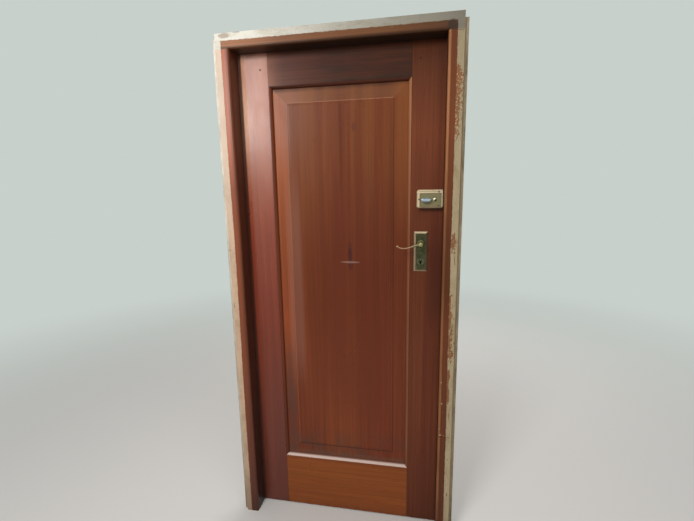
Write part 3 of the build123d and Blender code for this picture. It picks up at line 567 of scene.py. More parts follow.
def lit_bead(finish, tone):
    """The lock-side bead, with a painted highlight that is strongest near the top."""
    # share of painted highlight at each height
    rubbed = finish.ramp(
        finish.height(OPENING_TOP),
        *((0.08, 0.05), (0.2, 0.42), (0.4, 0.42), (0.5, 0.34), (0.72, 0.42), (0.88, 0.7)),
        (0.97, 0.9),
    )
    uneven = finish.ramp(finish.noise(9.0, (1, 1, 0.25), 63, 4.0, 0.6), (0.3, 0.7), (0.65, 1.0))
    return finish.over(tone, srgb(166, 114, 78), rubbed, uneven)


def top_bead_shade(finish, tone):
    """Painted shade on the top bead, which faces down."""
    return finish.over(tone, srgb(44, 20, 13), 0.6)


def sill_wear_and_light(finish, tone):
    """The bottom bead's rubbed, dusty lip, with the timber showing in places, and painted light
    where it faces up.
    """
    patch = finish.rise(finish.noise(6.0, (1, 0.1, 0.1), 4.3, 4.0, 0.6), 0.52, 0.62)
    # dust and rubbed timber on the lip, also painted light on its upward face
    dust_and_light = finish.mix(patch, srgb(214, 190, 178), srgb(206, 160, 120))
    start = finish.rise(finish.z, OPENING_BOTTOM - 0.5 * MM, OPENING_BOTTOM + MM)
    end = finish.rise(finish.z, OPENING_BOTTOM + 12 * MM, OPENING_BOTTOM + 8 * MM)
    return finish.over(tone, dust_and_light, start, end, 0.88)


def jamb_edge(finish):
    """Distance in from a jamb's outer side."""
    return finish.minus(OUTSIDE, finish.beside())


def head_edge(finish):
    """Distance in from the head's top, at the jambs' scale, or from its ends."""
    down = finish.both(finish.minus(TOP, finish.z), HEAD_BAND_SCALE)
    return finish.math("MINIMUM", down, jamb_edge(finish))


def left_chips(finish):
    """How readily the left jamb's paint flakes at each height."""
    share = finish.ramp(finish.height(), (0.0, 0.06), (0.25, 0.0), (0.8, 0.0), (1.0, 0.05))
    return finish.minus(share, 0.05)


def right_chips(finish):
    """How readily the right jamb's paint flakes at each height, more so towards the opening."""
    share = finish.ramp(
        finish.height(),
        *((0.0, 0.05), (0.22, 0.06), (0.38, 0.11), (0.41, 0.19), (0.45, 0.18), (0.51, 0.12)),
        *((0.56, 0.02), (0.78, 0.02), (0.81, 0.19), (0.86, 0.22), (0.905, 0.28), (0.912, 0.02)),
    )
    sideways = finish.rise(jamb_edge(finish), 5 * MM, 14 * MM)
    return finish.plus(share, finish.scaled(sideways, 0.09, -0.13))


def head_chips(finish):
    """How readily the head's paint flakes."""
    return finish.scaled(finish.rise(finish.x, -0.40, -0.46), 0.05, -0.06)


def head_shade(finish):
    """Painted shade: the head's paint is greyer to the right."""
    return finish.ramp(
        finish.plus(finish.x, 0.5),
        *((0.1, 0.0), (0.2, 0.09), (0.3, 0.26), (0.4, 0.44), (0.5, 0.59), (0.6, 0.64)),
        *((0.7, 0.77), (0.85, 0.87), (0.95, 0.95)),
    )


def head_shadow(finish, tone):
    """Painted shade along the head's lower edge."""
    under = finish.rise(finish.z, HEAD_FOOT + 13 * MM, HEAD_FOOT + 5 * MM)
    amount = finish.ramp(finish.rise(finish.x, -0.34, -0.18), (0.0, 0.78), (1.0, 0.95))
    return finish.over(tone, srgb(62, 36, 18), under, amount)


def arris_shade(finish, tone):
    """Painted shade on the left jamb towards its arris, most of all above eye level."""
    inner = finish.rise(jamb_edge(finish), JAMB_FACE - 19 * MM, JAMB_FACE - 4 * MM)
    front = finish.rise(finish.y, 12 * MM, 6 * MM)
    higher = finish.ramp(finish.rise(finish.z, 1.3, 1.7), (0.0, 0.45), (1.0, 0.75))
    return finish.over(tone, srgb(70, 40, 28), inner, front, higher)


SOOT = srgb(48, 30, 24)
PALE_CHIP = srgb(206, 186, 164)
LEVEL_DRIFT = ((0.0, 0.5), (1.0, 0.5))
MEMBERS = {  # patches: place and half sizes in mm; scars: the same, then amount and tone
    "left_jamb": {
        "cream": "left",
        "varnish": "left_margin",
        "gloss": 0.3,
        "along": "Z",
        "seed": 5.0,
        "inward": jamb_edge,
        "chips": left_chips,
        "worn": easing("Z", 1.75, 1.25, 0.1),
        # paint made paler towards the top, as painted light
        "fresh": easing("Z", 1.0, 1.9, 0.55),
        "soiled": by_height(
            *((0.0, 0.62), (0.05, 0.55), (0.11, 0.22), (0.24, 0.09), (0.45, 0.07), (0.62, 0.07)),
            (0.75, 0.0),
        ),
        "marks": (
            light_fade(
                "Z",
                *((0.0, 0.26), (0.1, 0.38), (0.3, 0.58), (0.6, 0.8), (0.9, 0.8), (1.3, 1.03)),
                *((1.5, 1.05), (1.66, 1.65), (2.0, 1.5)),
            ),
            arris_shade,
        ),
        "drift": ((0.29, 0.83), (0.38, 0.5), (0.44, 0.3), (0.6, 0.1), (0.69, 0.2), (0.76, 0.5)),
        "patches": ((-456, 1010, 3, 14),),
        "scars": ((-459, 1250, 2.5, 4, 0.7, SOOT), (-457, 1012, 2, 8, 0.5, srgb(96, 62, 44))),
    },
    "right_jamb": {
        "cream": "right",
        "varnish": "right_margin",
        "gloss": 0.18,
        "along": "Z",
        "seed": 9.0,
        "inward": jamb_edge,
        "chips": right_chips,
        # share of rubbed timber and painted highlight on the arris at each height
        "worn": by_height(
            *((0.05, 0.4), (0.12, 0.88), (0.35, 0.88), (0.45, 0.58), (0.58, 0.55), (0.75, 0.8)),
            (0.88, 0.95),
        ),
        "fresh": None,
        "soiled": by_height(
            (0.0, 0.41), (0.05, 0.19), (0.1, 0.07), (0.5, 0.14), (0.9, 0.32), (1.0, 0.46)
        ),
        "marks": (
            light_fade(
                "Z",
                *((0.0, 0.8), (0.5, 0.95), (0.95, 1.0), (1.1, 0.7), (1.3, 0.74), (1.5, 1.03)),
                *((1.7, 1.3), (2.05, 0.8)),
            ),
        ),
        "drift": ((0.28, 0.85), (0.34, 0.6), (0.55, 0.55), (0.6, 0.2), (0.65, 0.5)),
        "patches": (
            (444, 1882, 12, 32),
            (447, 1288, 12, 36),
            (453, 1225, 2.2, 26),
            (440, 1045, 4, 40),
            (441, 998, 5, 36),
            (443, 892, 4, 26),
            (449, 844, 9, 14),
            (440, 735, 6, 30),
            (443, 672, 5, 36),
            (450, 579, 1.6, 32),
        ),
        "scars": (
            (448, 2024, 12, 1.2, 0.6, SOOT),
            (420, 480, 15, 2.2, 0.7, SOOT),
            (446, 477, 12, 1.6, 0.5, SOOT),
            (417, 486, 5, 3.0, 0.7, srgb(196, 170, 140)),
            (431, 484, 4, 2.5, 0.6, srgb(170, 110, 66)),
            (452, 209, 1.6, 11, 0.8, SOOT),
            (416, 720, 1.8, 3.5, 0.7, PALE_CHIP),
            (420, 628, 1.8, 3.5, 0.7, PALE_CHIP),
        ),
    },
    "head": {
        "cream": "head",
        "varnish": "head_margin",
        "gloss": 0.25,
        "along": "X",
        "seed": 13.0,
        "inward": head_edge,
        "chips": head_chips,
        "worn": easing("X", -0.12, -0.34, 0.18),
        "fresh": None,
        "soiled": head_shade,
        "marks": (
            light_fade(
                "X",
                *((-0.45, 1.65), (-0.3, 1.45), (-0.2, 1.0), (0.0, 0.88), (0.2, 0.72)),
                *((0.3, 0.58), (0.43, 0.42)),
            ),
            head_shadow,
        ),
        "drift": LEVEL_DRIFT,
        "patches": (),
        "scars": (
            (420, 2042, 17, 17, 0.85, srgb(50, 35, 27)),
            (-423, 2074, 22, 9, 0.7, srgb(150, 130, 112)),
            (-372, 2083, 14, 1.8, 0.7, srgb(96, 84, 72)),
        ),
    },
}


def margin_tone(finish, timber, member, inward):
    """The varnished margin, with its rubbed arris, also lightened as a painted highlight, and
    marks, painted shade on the rebate behind it, specks of paint on its face, and its fibre height."""
    along, seed = member["along"], member["seed"]
    board, lines = timber_tone(finish, getattr(timber, member["varnish"]), along, seed)
    plain = weathered(finish, finish.mix(0.6, board, timber.right_margin))
    uneven = finish.noise(60.0, grain_stretch(along, 0.12), seed + 16, 4.0)
    # rubbed timber along the inner arris, also a painted highlight where the arris catches the
    # light
    tone = finish.over(
        board,
        timber.worn,
        finish.rise(inward, JAMB_FACE - 11 * MM, JAMB_FACE - 8 * MM),
        finish.rise(finish.y, 12 * MM, 6 * MM),
        finish.ramp(uneven, (0.3, 0.5), (0.6, 1.0)),
        member["worn"](finish),
    )
    tone = marked(finish, tone, plain, member["marks"])
    # painted shade on the rebate behind the arris
    well = finish.rise(inward, JAMB_FACE - 16 * MM, JAMB_FACE - 12 * MM)
    tone = finish.over(tone, srgb(36, 27, 24), finish.rise(finish.y, 7 * MM, 11 * MM), well, 0.7)
    specks = finish.rise(finish.noise(110.0, seed=seed + 12, detail=2.0), 0.735, 0.76)
    face = finish.rise(finish.y, 2 * MM, MM)
    return finish.over(tone, srgb(200, 180, 158), specks, face, 0.7), lines


def chipped_cream(finish, paint, member, edge_line, crumbs, wander):
    """The coat of paint, dirty and flaked down to bare timber, and where it is gone."""
    along, seed = member["along"], member["seed"]
    cream = getattr(paint, member["cream"])
    chips = member["chips"](finish)
    fine = finish.both(finish.flecks(95.0, -0.15, 2.2, seed + 7), 0.45)
    flaking = finish.plus(finish.scaled(finish.flecks(150.0, 0.2, 3.0, seed), 0.55, fine), chips)
    flaking = finish.scaled(crumbs, 0.10, flaking)
    for shape in member["patches"]:
        patch = finish.spot(*(size * MM for size in shape), 0.9, wander)
        flaking = finish.scaled(patch, 0.21, flaking)
    gone = finish.rise(flaking, 0.680, 0.692)
    rim = finish.minus(finish.rise(flaking, 0.645, 0.680), gone)
    dirt = finish.noise(20.0, grain_stretch(along, 0.35), seed + 6, 6.0, 0.68)
    dirty, clean = tint(cream, 0.70, 0.66, 0.58), tint(cream, 1.12, 1.12, 1.14)
    tone = finish.ramp(dirt, (0.32, dirty), (0.5, cream), (0.7, clean))
    tone = finish.times(tone, finish.ramp(crumbs, (0.32, 0.84), (0.66, 1.1)))
    # painted light: the paint paler towards the top
    if member["fresh"]:
        tone = finish.over(tone, srgb(216, 200, 184), member["fresh"](finish))
    # dirt and painted shade: darker paint at the jambs' feet, high on the right jamb and to the
    # right of the head
    tone = finish.over(tone, tint(cream, 0.20, 0.19, 0.155), member["soiled"](finish))
    seam = finish.line(edge_line, paint.jamb_band, 0.6 * MM, 1.6 * MM)
    grime = finish.math("MAXIMUM", finish.both(rim, 0.6), finish.both(seam, 0.4))
    tone = finish.over(tone, srgb(112, 78, 50), grime)
    hollows = finish.ramp(crumbs, (0.38, 0.9), (0.60, 0.0))
    bare = finish.mix(hollows, paint.bare, tint(paint.bare, 0.42, 0.34, 0.28))
    tone = finish.over(tone, bare, gone, 0.9)
    crust = finish.rise(finish.flecks(260.0, -0.2, 1.8, seed + 3), 0.57, 0.62)
    loose = finish.rise(chips, 0.06, 0.10)
    return finish.over(tone, tint(cream, 1.3, 1.2, 1.1), loose, crust, 0.8), gone


def raw_timber(finish, along, seed, lines):
    """Unpainted sides, with smears and plaster."""
    smears = finish.noise(30.0, grain_stretch(along, 0.14), seed + 9, 5.0, 0.62)
    tone = finish.mix(finish.rise(smears, 0.42, 0.66), srgb(142, 116, 84), srgb(172, 158, 134))
    plaster = finish.noise(13.0, grain_stretch(along, 0.3), seed + 10, 6.0, 0.66)
    tone = finish.over(tone, srgb(190, 184, 170), finish.rise(plaster, 0.60, 0.66))
    return finish.times(tone, finish.ramp(lines, (0.30, 0.72), (0.68, 1.12)))


def painted(name, timber, paint, member):
    """Varnish inside and chipped cream paint outside, on one member of the frame. The paint's edge
    is ragged and drifts with the height, as a hand leads the brush."""
    finish = Finish(name)
    along, seed = member["along"], member["seed"]
    inward = member["inward"](finish)
    ripple = finish.noise(75.0, seed=seed, detail=5.0, roughness=0.65)
    crumbs = finish.noise(240.0, seed=seed + 1, detail=4.0, roughness=0.6)
    wander = finish.scaled(finish.noise(110.0, seed=seed + 4, detail=6.0), 5.0, -2.5)
    ragged = finish.scaled(ripple, 7 * MM, -3.5 * MM)
    drift = finish.ramp(finish.height(), *member["drift"])
    edge_line = finish.minus(finish.scaled(drift, 6 * MM, finish.plus(inward, ragged)), 3 * MM)
    band, depth = paint.jamb_band, paint.side_depth
    near_front = finish.rise(finish.plus(finish.y, ragged), depth + MM, depth - MM)
    coat = finish.both(finish.rise(edge_line, band + 0.5 * MM, band - 0.5 * MM), near_front)
    side = finish.both(finish.rise(inward, 0.8 * MM, 0.3 * MM), finish.minus(1.0, near_front))
    tone, lines = margin_tone(finish, timber, member, inward)
    surface, gone = chipped_cream(finish, paint, member, edge_line, crumbs, wander)
    tone = finish.over(tone, raw_timber(finish, along, seed, lines), side)
    tone = finish.over(tone, surface, coat)
    face = finish.rise(finish.y, 2 * MM, MM)
    for *shape, amount, scar in member["scars"]:
        spot = finish.spot(*(size * MM for size in shape), 0.5, finish.both(wander, 0.4))
        tone = finish.over(tone, scar, spot, face, amount)
    brushed = finish.noise(320.0, grain_stretch(along, 0.05), seed + 14)
    height = finish.scaled(brushed, 0.12, finish.both(coat, finish.minus(1.0, gone)))
    finish.relief(finish.scaled(crumbs, 0.3, height), 0.6 * MM, 0.8)
    dull = finish.math("MAXIMUM", coat, side)
    return finish.set(
        Base_Color=tone,
        Roughness=finish.ramp(dull, (0.0, timber.roughness + 0.06), (1.0, 0.60)),
        Specular_IOR_Level=member["gloss"],
    )


def metal(name, tone, roughness, wear=0.12, scale=60.0, scratch=0.4):
    """Plain worn metal with faint scratches and dull patches."""
    finish = Finish(name)
    patches = finish.noise(scale, detail=5.0, roughness=0.6)
    finish.relief(finish.noise(500.0, (1, 1, 0.08), 2, 2.0), 0.03 * MM, scratch)
    return finish.set(
        Base_Color=finish.over(
            tone, tint(tone, 0.55), finish.ramp(patches, (0.35, 0.0), (0.75, 0.8))
        ),
        Metallic=1.0,
        Roughness=finish.ramp(patches, (0.3, roughness), (0.7, roughness + wear)),
    )


def arm_brass(metals):
    """Rubbed brass, pinker towards the lever's tip as a painted warm reflection."""
    finish = Finish("lever_brass")
    patches = finish.noise(30.0, seed=4.0, detail=5.0, roughness=0.6)
    away = finish.rise(finish.x, LEVER_AXIS[0] - 20 * MM, LEVER_AXIS[0] - 60 * MM)
    # painted warm reflection on the outer part of the arm
    pink = tint(metals.brass, 1.2, 0.98, 1.0)
    tone = finish.mix(away, tint(metals.brass, 0.82, 0.95, 0.82), pink)
    finish.relief(finish.noise(500.0, (0.08, 1, 1), 6, 2.0), 0.03 * MM, 0.15)
    dull = finish.ramp(patches, (0.4, 0.0), (0.75, 0.4))
    return finish.set(
        Base_Color=finish.over(tone, tint(metals.brass, 0.6), dull),
        Metallic=0.85,
        Roughness=finish.ramp(patches, (0.3, 0.28), (0.7, 0.38)),
    )


def neck_brass():
    """Olive brass of the lever's neck, dark in the groove round its dome, with painted shadow under
    the arm.
    """
    finish = Finish("neck_brass")
    x, z = LEVER_AXIS
    patches = finish.noise(160.0, seed=9.0, detail=5.0)
    tone = finish.ramp(patches, (0.3, srgb(134, 128, 80)), (0.7, srgb(176, 170, 122)))
    groove = finish.line(finish.distance(x, z), 9.4 * MM, 0.5 * MM, 1.3 * MM)
    # painted shadow of the arm on the neck
    under = finish.spot(x - 4 * MM, z - 8 * MM, 9 * MM, 2.2 * MM, 0.6)
    dark = finish.math("MAXIMUM", finish.both(groove, 0.5), finish.both(under, 0.8))
    finish.relief(patches, 0.05 * MM, 0.4)
    return finish.set(
        Base_Color=finish.over(tone, srgb(52, 46, 22), dark),
        Metallic=0.7,
        Roughness=finish.ramp(patches, (0.3, 0.34), (0.7, 0.46)),
    )


def backplate(metals):
    """Tarnished brass with bright worn bevels, a paler ring round the keyhole, and the keyhole
    painted black as shade.
    """
    finish = Finish("backplate_brass")
    low, high = np.array(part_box("front_lock_plate"), dtype=float)
    centre, half = (low + high) / 2, (high - low) / 2
    across = finish.beside(centre[0])
    along = finish.math("ABSOLUTE", finish.minus(finish.z, centre[2]))
    inward = finish.math(
        "MINIMUM", finish.minus(half[0], across), finish.minus(half[2], along)
    )
    patches = finish.noise(70.0, seed=2, detail=5.0)
    edge = finish.rise(finish.scaled(patches, 1.2 * MM, inward), 8.2 * MM, 7.2 * MM)
    face = finish.mix(finish.rise(patches, 0.3, 0.7), metals.tarnish, srgb(80, 80, 54))
    x, z = KEYHOLE
    ring = finish.line(finish.distance(x, z - 2 * MM), 11 * MM, 1.2 * MM, 2 * MM)
    face = finish.over(face, srgb(136, 140, 112), ring, 0.5)
    # the keyhole's shape painted black, standing in for the shade inside it
    worn = finish.math(
        "MAXIMUM",
        finish.spot(x, z + MM, 4.6 * MM, 4.8 * MM, 0.2),
        finish.spot(x, z - 7 * MM, 2.6 * MM, 8 * MM, 0.25),
    )
    face = finish.over(face, srgb(8, 8, 6), worn, 0.95)
    finish.relief(finish.noise(600.0, (1, 1, 0.1), 3), 0.03 * MM, 0.4)
    return finish.set(
        Base_Color=finish.over(face, tint(metals.brass, 0.87, 0.91, 0.97), edge),
        Metallic=1.0,
        Roughness=finish.ramp(edge, (0.0, 0.42), (1.0, 0.40)),
    )


def latch_case(metals):
    """Cream-gold enamel, greener and duller in the sunk front, with a dark outline round it and
    painted shade along its foot.
    """
    finish = Finish("night_latch_enamel")
    low, high = np.array(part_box("night_latch_case"), dtype=float)
    sunk = finish.rise(finish.y, low[1] + 0.5 * MM, low[1] + 0.9 * MM)
    recess = finish.both(
        sunk,
        finish.within(finish.x, low[0] + 13.5 * MM, high[0] - 5.5 * MM),
        finish.within(finish.z, low[2] + 8.5 * MM, high[2] - 15.5 * MM),
    )
    outline = finish.both(
        finish.minus(1.0, sunk),
        finish.within(finish.x, low[0] + 11 * MM, high[0] - 4.5 * MM),
        finish.within(finish.z, low[2] + 6 * MM, high[2] - 13.5 * MM),
    )
    step = finish.both(
        finish.line(finish.z, high[2] - 6.5 * MM, 0.5 * MM, MM),
        finish.rise(finish.x, low[0] + 8 * MM, low[0] + 10 * MM),
        finish.rise(finish.x, high[0] - 10 * MM, high[0] - 14 * MM),
    )
    # painted shade along the case's lower rim
    foot = finish.rise(finish.z, low[2] + 6 * MM, low[2] + 2 * MM)
    patches = finish.noise(90.0, seed=5, detail=5.0)
    tone = finish.over(metals.enamel, metals.enamel_recess, recess)
    tone = finish.over(tone, srgb(74, 56, 30), outline, 0.85)
    tone = finish.over(tone, srgb(120, 92, 56), step, 0.6)
    tone = finish.over(tone, srgb(112, 80, 54), foot, 0.72)
    return finish.set(
        Base_Color=finish.over(tone, srgb(150, 128, 88), finish.rise(patches, 0.5, 0.8)),
        Metallic=0.35,
        Roughness=finish.ramp(patches, (0.3, 0.30), (0.7, 0.42)),
    )


def dress(nodes, material):
    """Gives carried-over pieces their material."""
    for name in nodes:
        data = frame["nodes"][name].data
        data.materials.clear()
        data.materials.append(material)


def skin(name, rings, material, hoop=False):
    """A closed tube through rings of points, an array of ring, point and axis. The first and last
    rings are drawn together into poles, or joined to each other in a hoop, and faces are turned to
    point outwards."""
    around = rings.shape[1]
    here = np.arange(around)
    there = (here + 1) % around
    if hoop:
        points = rings.reshape(-1, 3)
        row = np.arange(len(rings))[:, None] * around
        after = (row + around) % len(points)
        caps = np.empty((0, 3), dtype=int)
    else:
        poles = np.stack([rings[0].mean(axis=0), rings[-1].mean(axis=0)])
        points = np.concatenate([rings[1:-1].reshape(-1, 3), poles])
        row = np.arange(len(rings) - 3)[:, None] * around
        after = row + around
        first = np.full(around, len(points) - 2)
        last_row = len(points) - 2 - around
        start = np.stack([first, there, here], axis=-1)
        end = np.stack([first + 1, last_row + here, last_row + there], axis=-1)
        caps = np.concatenate([start, end])
    quads = np.stack([row + here, row + there, after + there, after + here], axis=-1)
    quads = quads.reshape(-1, 4)
    volume = 0.0
    for corners in (caps, quads[:, [0, 1, 2]], quads[:, [0, 2, 3]]):
        a, b, c = (points[corners[:, k]] for k in range(3))
        volume += np.einsum("ij,ij->", a, np.cross(b, c))
    if volume < 0:
        quads, caps = quads[:, ::-1], caps[:, ::-1]
    mesh = bpy.data.meshes.new(name)
    mesh.from_pydata(points.tolist(), [], quads.tolist() + caps.tolist())
    mesh.shade_smooth()
    mesh.materials.append(material)
    piece = bpy.data.objects.new(name, mesh)
    bpy.context.scene.collection.objects.link(piece)
    return piece


def through(points, samples):
    """A smooth curve through points: each stretch is the Catmull-Rom cubic of its four nearest."""
    points = np.asarray(points, dtype=float)
    padded = np.concatenate([2 * points[:1] - points[1:2], points, 2 * points[-1:] - points[-2:-1]])
    place = np.linspace(0, len(points) - 1, samples)
    stretch = np.minimum(place.astype(int), len(points) - 2)
    t = (place - stretch)[:, None]
    p0, p1, p2, p3 = (padded[stretch + k] for k in range(4))
    return 0.5 * (
        2 * p1
        + (p2 - p0) * t
        + (2 * p0 - 5 * p1 + 4 * p2 - p3) * t**2
        + (3 * p1 - p0 - 3 * p2 + p3) * t**3
    )


def tangents(path):
    """The direction of a path at each of its points."""
    ahead = np.gradient(path, axis=0)
    return ahead / np.linalg.norm(ahead, axis=1, keepdims=True)


def turns(around):
    """Evenly spaced angles round a circle."""
    return np.linspace(0, 2 * np.pi, around, endpoint=False)


def bar_rings(path, half_height, half_depth, around=28):
    """Ellipses carried square to a path that lies in an upright plane facing the room."""
    across = np.array([0.0, 1.0, 0.0])
    upright = np.cross(tangents(path), across)
    turn = turns(around)[None, :, None]
    return (
        path[:, None]
        + np.cos(turn) * half_height[:, None, None] * upright[:, None]
        + np.sin(turn) * half_depth[:, None, None] * across
    )


def turned_rings(centre, profile, around=40):
    """Circles about a line through the door, of the radius and depth that a profile gives."""
    radius, depth = np.asarray(profile, dtype=float).T
    x = centre[0] + radius[:, None] * np.cos(turns(around))
    z = centre[1] + radius[:, None] * np.sin(turns(around))
    return np.stack([x, np.broadcast_to(depth[:, None], x.shape), z], axis=-1)


def coil_rings(start, end, radius, thickness, coils):
    """Rings of a compression spring's wire along X. Its centre line is (x, r cos a, r sin a) with
    x and the angle a both rising evenly, and each ring is a circle square to that line."""
    share = np.linspace(0, 1, 28 * coils + 1)[:, None]
    angle = 2 * np.pi * coils * share
    outward = np.concatenate([0 * angle, np.cos(angle), np.sin(angle)], axis=1)
    path = start + (end - start) * share + radius * outward
    upright = np.cross(tangents(path), outward)
    turn = turns(10)[None, :, None]
    thick = np.full((len(path), 1, 1), thickness)
    thick[0] = thick[-1] = 0
    return path[:, None] + thick * (
        np.cos(turn) * outward[:, None] + np.sin(turn) * upright[:, None]
    )


class DoorOperator:
    """What the operators share."""

    bl_options = {"REGISTER", "UNDO"}

    def execute(self, context):
        self.make(context.scene)
        return {"FINISHED"}


BOARDS = (  # node, gloss, direction and seed of the grain, and marks
    (
        "hinge_stile",
        0.5,
        "Z",
        11.0,
        (light_fade("Z", (0.0, 0.75), (0.5, 1.0), (0.95, 1.28), (1.4, 1.43)), painted_sheen_and_shadow, corner_shade),
    ),
    (
        "lock_stile",
        0.18,
        "Z",
        23.0,
        (
            light_fade("Z", (0.0, 0.8), (0.5, 1.12), (1.2, 0.86), (1.7, 1.15), (2.04, 0.5)),
            corner_shade,
            lock_stile_shade,
        ),
    ),
    ("top_rail", 0.12, "X", 31.0, (painted_sheen_and_shadow, top_rail_stain_and_shade, corner_shade)),
    ("bottom_rail", 0.15, "X", 43.0, (corner_shade,)),
    ("panel", 0.16, "Z", 57.0, (light_fade("Z", (0.25, 1.3), (0.8, 1.2), (1.15, 0.95)), panel_marks)),
)
BEAD_MARKS = {
    "front_bead_right": (lit_bead,),
    "front_bead_bottom": (sill_wear_and_light,),
    "front_bead_top": (top_bead_shade,),
}


class DOOR_OT_leaf(DoorOperator, bpy.types.Operator):
    """Finish the stiles, rails, panel, beads and pegs of the leaf"""

    bl_idname = "door.leaf"
    bl_label = "Leaf timber"

    def make(self, scene):
        timber = scene.door_timber
        rows = [(name, getattr(timber, name), *rest) for name, *rest in BOARDS]
        rows.append(("tenon_pegs", tint(timber.lock_stile, 0.4), 0.15, "X", 71.0, ()))
        for side, along in (("left", "Z"), ("right", "Z"), ("top", "X"), ("bottom", "X")):
            for name in (f"front_bead_{side}", f"back_bead_{side}"):
                rows.append((name, timber.bead, 0.2, along, 61.0, BEAD_MARKS.get(name, ())))
        for name, board, gloss, along, seed, marks in rows:
            dress([name], varnished(f"{name}_timber", timber, board, gloss, along, seed, *marks))


BATTENS = (  # node, dark and light tone, and the tint at each part of the height: dirt low down, painted light higher up
    (
        "left_batten",
        srgb(172, 164, 146),
        srgb(206, 200, 186),
        (
            (0.0, (0.5, 0.38, 0.28)),
            (0.06, (0.68, 0.52, 0.42)),
            (0.14, (0.95, 0.92, 0.88)),
            (0.4, (1.0, 0.98, 0.98)),
            (0.64, (1.02, 1.02, 1.02)),
            (0.72, (1.27, 1.27, 1.27)),
            (0.84, (1.36, 1.36, 1.4)),
            (1.0, (1.25, 1.25, 1.28)),
        ),
    ),
    ("right_batten", srgb(104, 90, 68), srgb(154, 139, 114), ((0.0, 0.85), (0.1, 1.0))),
)


class DOOR_OT_frame(DoorOperator, bpy.types.Operator):
    """Finish the jambs, the head and the packing battens"""

    bl_idname = "door.frame"
    bl_label = "Painted frame"

    def make(self, scene):
        for name, member in MEMBERS.items():
            coat = painted(f"{name}_paint", scene.door_timber, scene.door_paint, member)
            dress([name], coat)
        for name, dark, light, dirt_and_light in BATTENS:
            dress([name], self.batten(name, dark, light, dirt_and_light))

    def batten(self, name, dark, light, dirt_and_light):
        """Rough timber, dirtier towards the floor, with painted light higher up and where it meets
        the jamb.
        """
        finish = Finish(f"{name}_timber")
        rough = finish.noise(40.0, (1, 1, 0.3), 3, 6.0, 0.65)
        grain = finish.noise(260.0, (1, 1, 0.02), 5, 3.0, 0.6)
        finish.relief(finish.scaled(grain, 0.4, rough), 0.8 * MM)
        tone = finish.ramp(rough, (0.35, dark), (0.65, light))
        tone = finish.times(tone, finish.ramp(grain, (0.3, 0.8), (0.7, 1.1)))
        tone = finish.times(tone, finish.ramp(finish.height(), *dirt_and_light))
        # painted light where the batten meets the jamb
        seam = finish.rise(finish.beside(), OUTSIDE + 9 * MM, OUTSIDE + 2 * MM)
        tone = finish.over(tone, tint(light, 1.5, 1.4, 1.25), seam, 0.6)
        return finish.set(Base_Color=tone, Roughness=0.85)


STEEL_PARTS = (
    "lock_latch_bolt",
    "lock_dead_bolt",
    "lock_levers",
    "lock_latch_spring",
    "night_latch_bolt",
    "night_latch_spring",
    "spindle",
    "cylinder_tailbar",
)
IRON_PARTS = ("lock_case", "lock_cover", "lock_follower", "night_latch_base")
BRASS_PARTS = ("lock_forend", "lock_strike", "cylinder_body", "cylinder_ring", "cylinder_plug")


class DOOR_OT_metalwork(DoorOperator, bpy.types.Operator):
    """Finish the plates, bolts, strikes, hinges, springs and screws"""

    bl_idname = "door.metalwork"
    bl_label = "Metalwork"

    def make(self, scene):
        metals = scene.door_metal
        hinges = [name for name in frame["nodes"] if "_hinge_" in name and "screws" not in name]
        screws = [name for name in frame["nodes"] if name.endswith("screws")]
        dress(["front_lock_plate", "back_lock_plate"], backplate(metals))
        dress(hinges, metal("hinge_steel", srgb(112, 106, 98), 0.45))
        dress(screws, metal("screw_steel", srgb(120, 110, 92), 0.42, scale=300.0))
        dress(IRON_PARTS, metal("lock_iron", srgb(72, 68, 64), 0.5))
        dress(STEEL_PARTS, metal("worn_steel", metals.steel, 0.38))
        dress(BRASS_PARTS, metal("satin_brass", srgb(152, 130, 90), 0.34))


class DOOR_OT_night_latch(DoorOperator, bpy.types.Operator):
    """Finish the night latch, its knob, its snib and its strike"""

    bl_idname = "door.night_latch"
    bl_label = "Night latch"

    def make(self, scene):
        snib = metal("snib_metal", srgb(120, 112, 84), 0.4, 0.06, scratch=0.05)
        dress(["night_latch_case", "night_strike"], latch_case(scene.door_metal))
        dress(["night_latch_knob"], self.knob_chrome())
        dress(["night_latch_snib"], snib)

    def knob_chrome(self):
        """Dull greenish chrome with a pale blue painted highlight along its ridge and a dark line
        along it.
        """
        finish = Finish("knob_chrome")
        axis = joint_entry("night_knob_turn")["pos_m"][2]
        patches = finish.noise(90.0, seed=6.0, detail=4.0)
        # painted highlight along the knob's ridge
        ridge = finish.line(finish.z, axis, 1.6 * MM, 4.2 * MM)
        tone = finish.mix(ridge, srgb(112, 128, 122), srgb(198, 208, 222))
        slit = finish.line(finish.z, axis - 0.4 * MM, 0.5 * MM, 0.9 * MM)
        finish.relief(patches, 0.02 * MM, 0.2)
        return finish.set(
            Base_Color=finish.over(tone, srgb(58, 76, 98), slit, 0.45),
            Metallic=0.55,
            Roughness=finish.ramp(patches, (0.3, 0.32), (0.7, 0.42)),
        )


SNIB_STEM = ((6.0, 0.4), (5.2, 1.6), (3.8, 2.6), (3.4, 3.6), (3.4, 5.4), (0, 5.4))
CURTAIN_SECTION = ((3.2, -0.5), (15.5, -0.5), (15.5, 0.5), (3.2, 0.5))


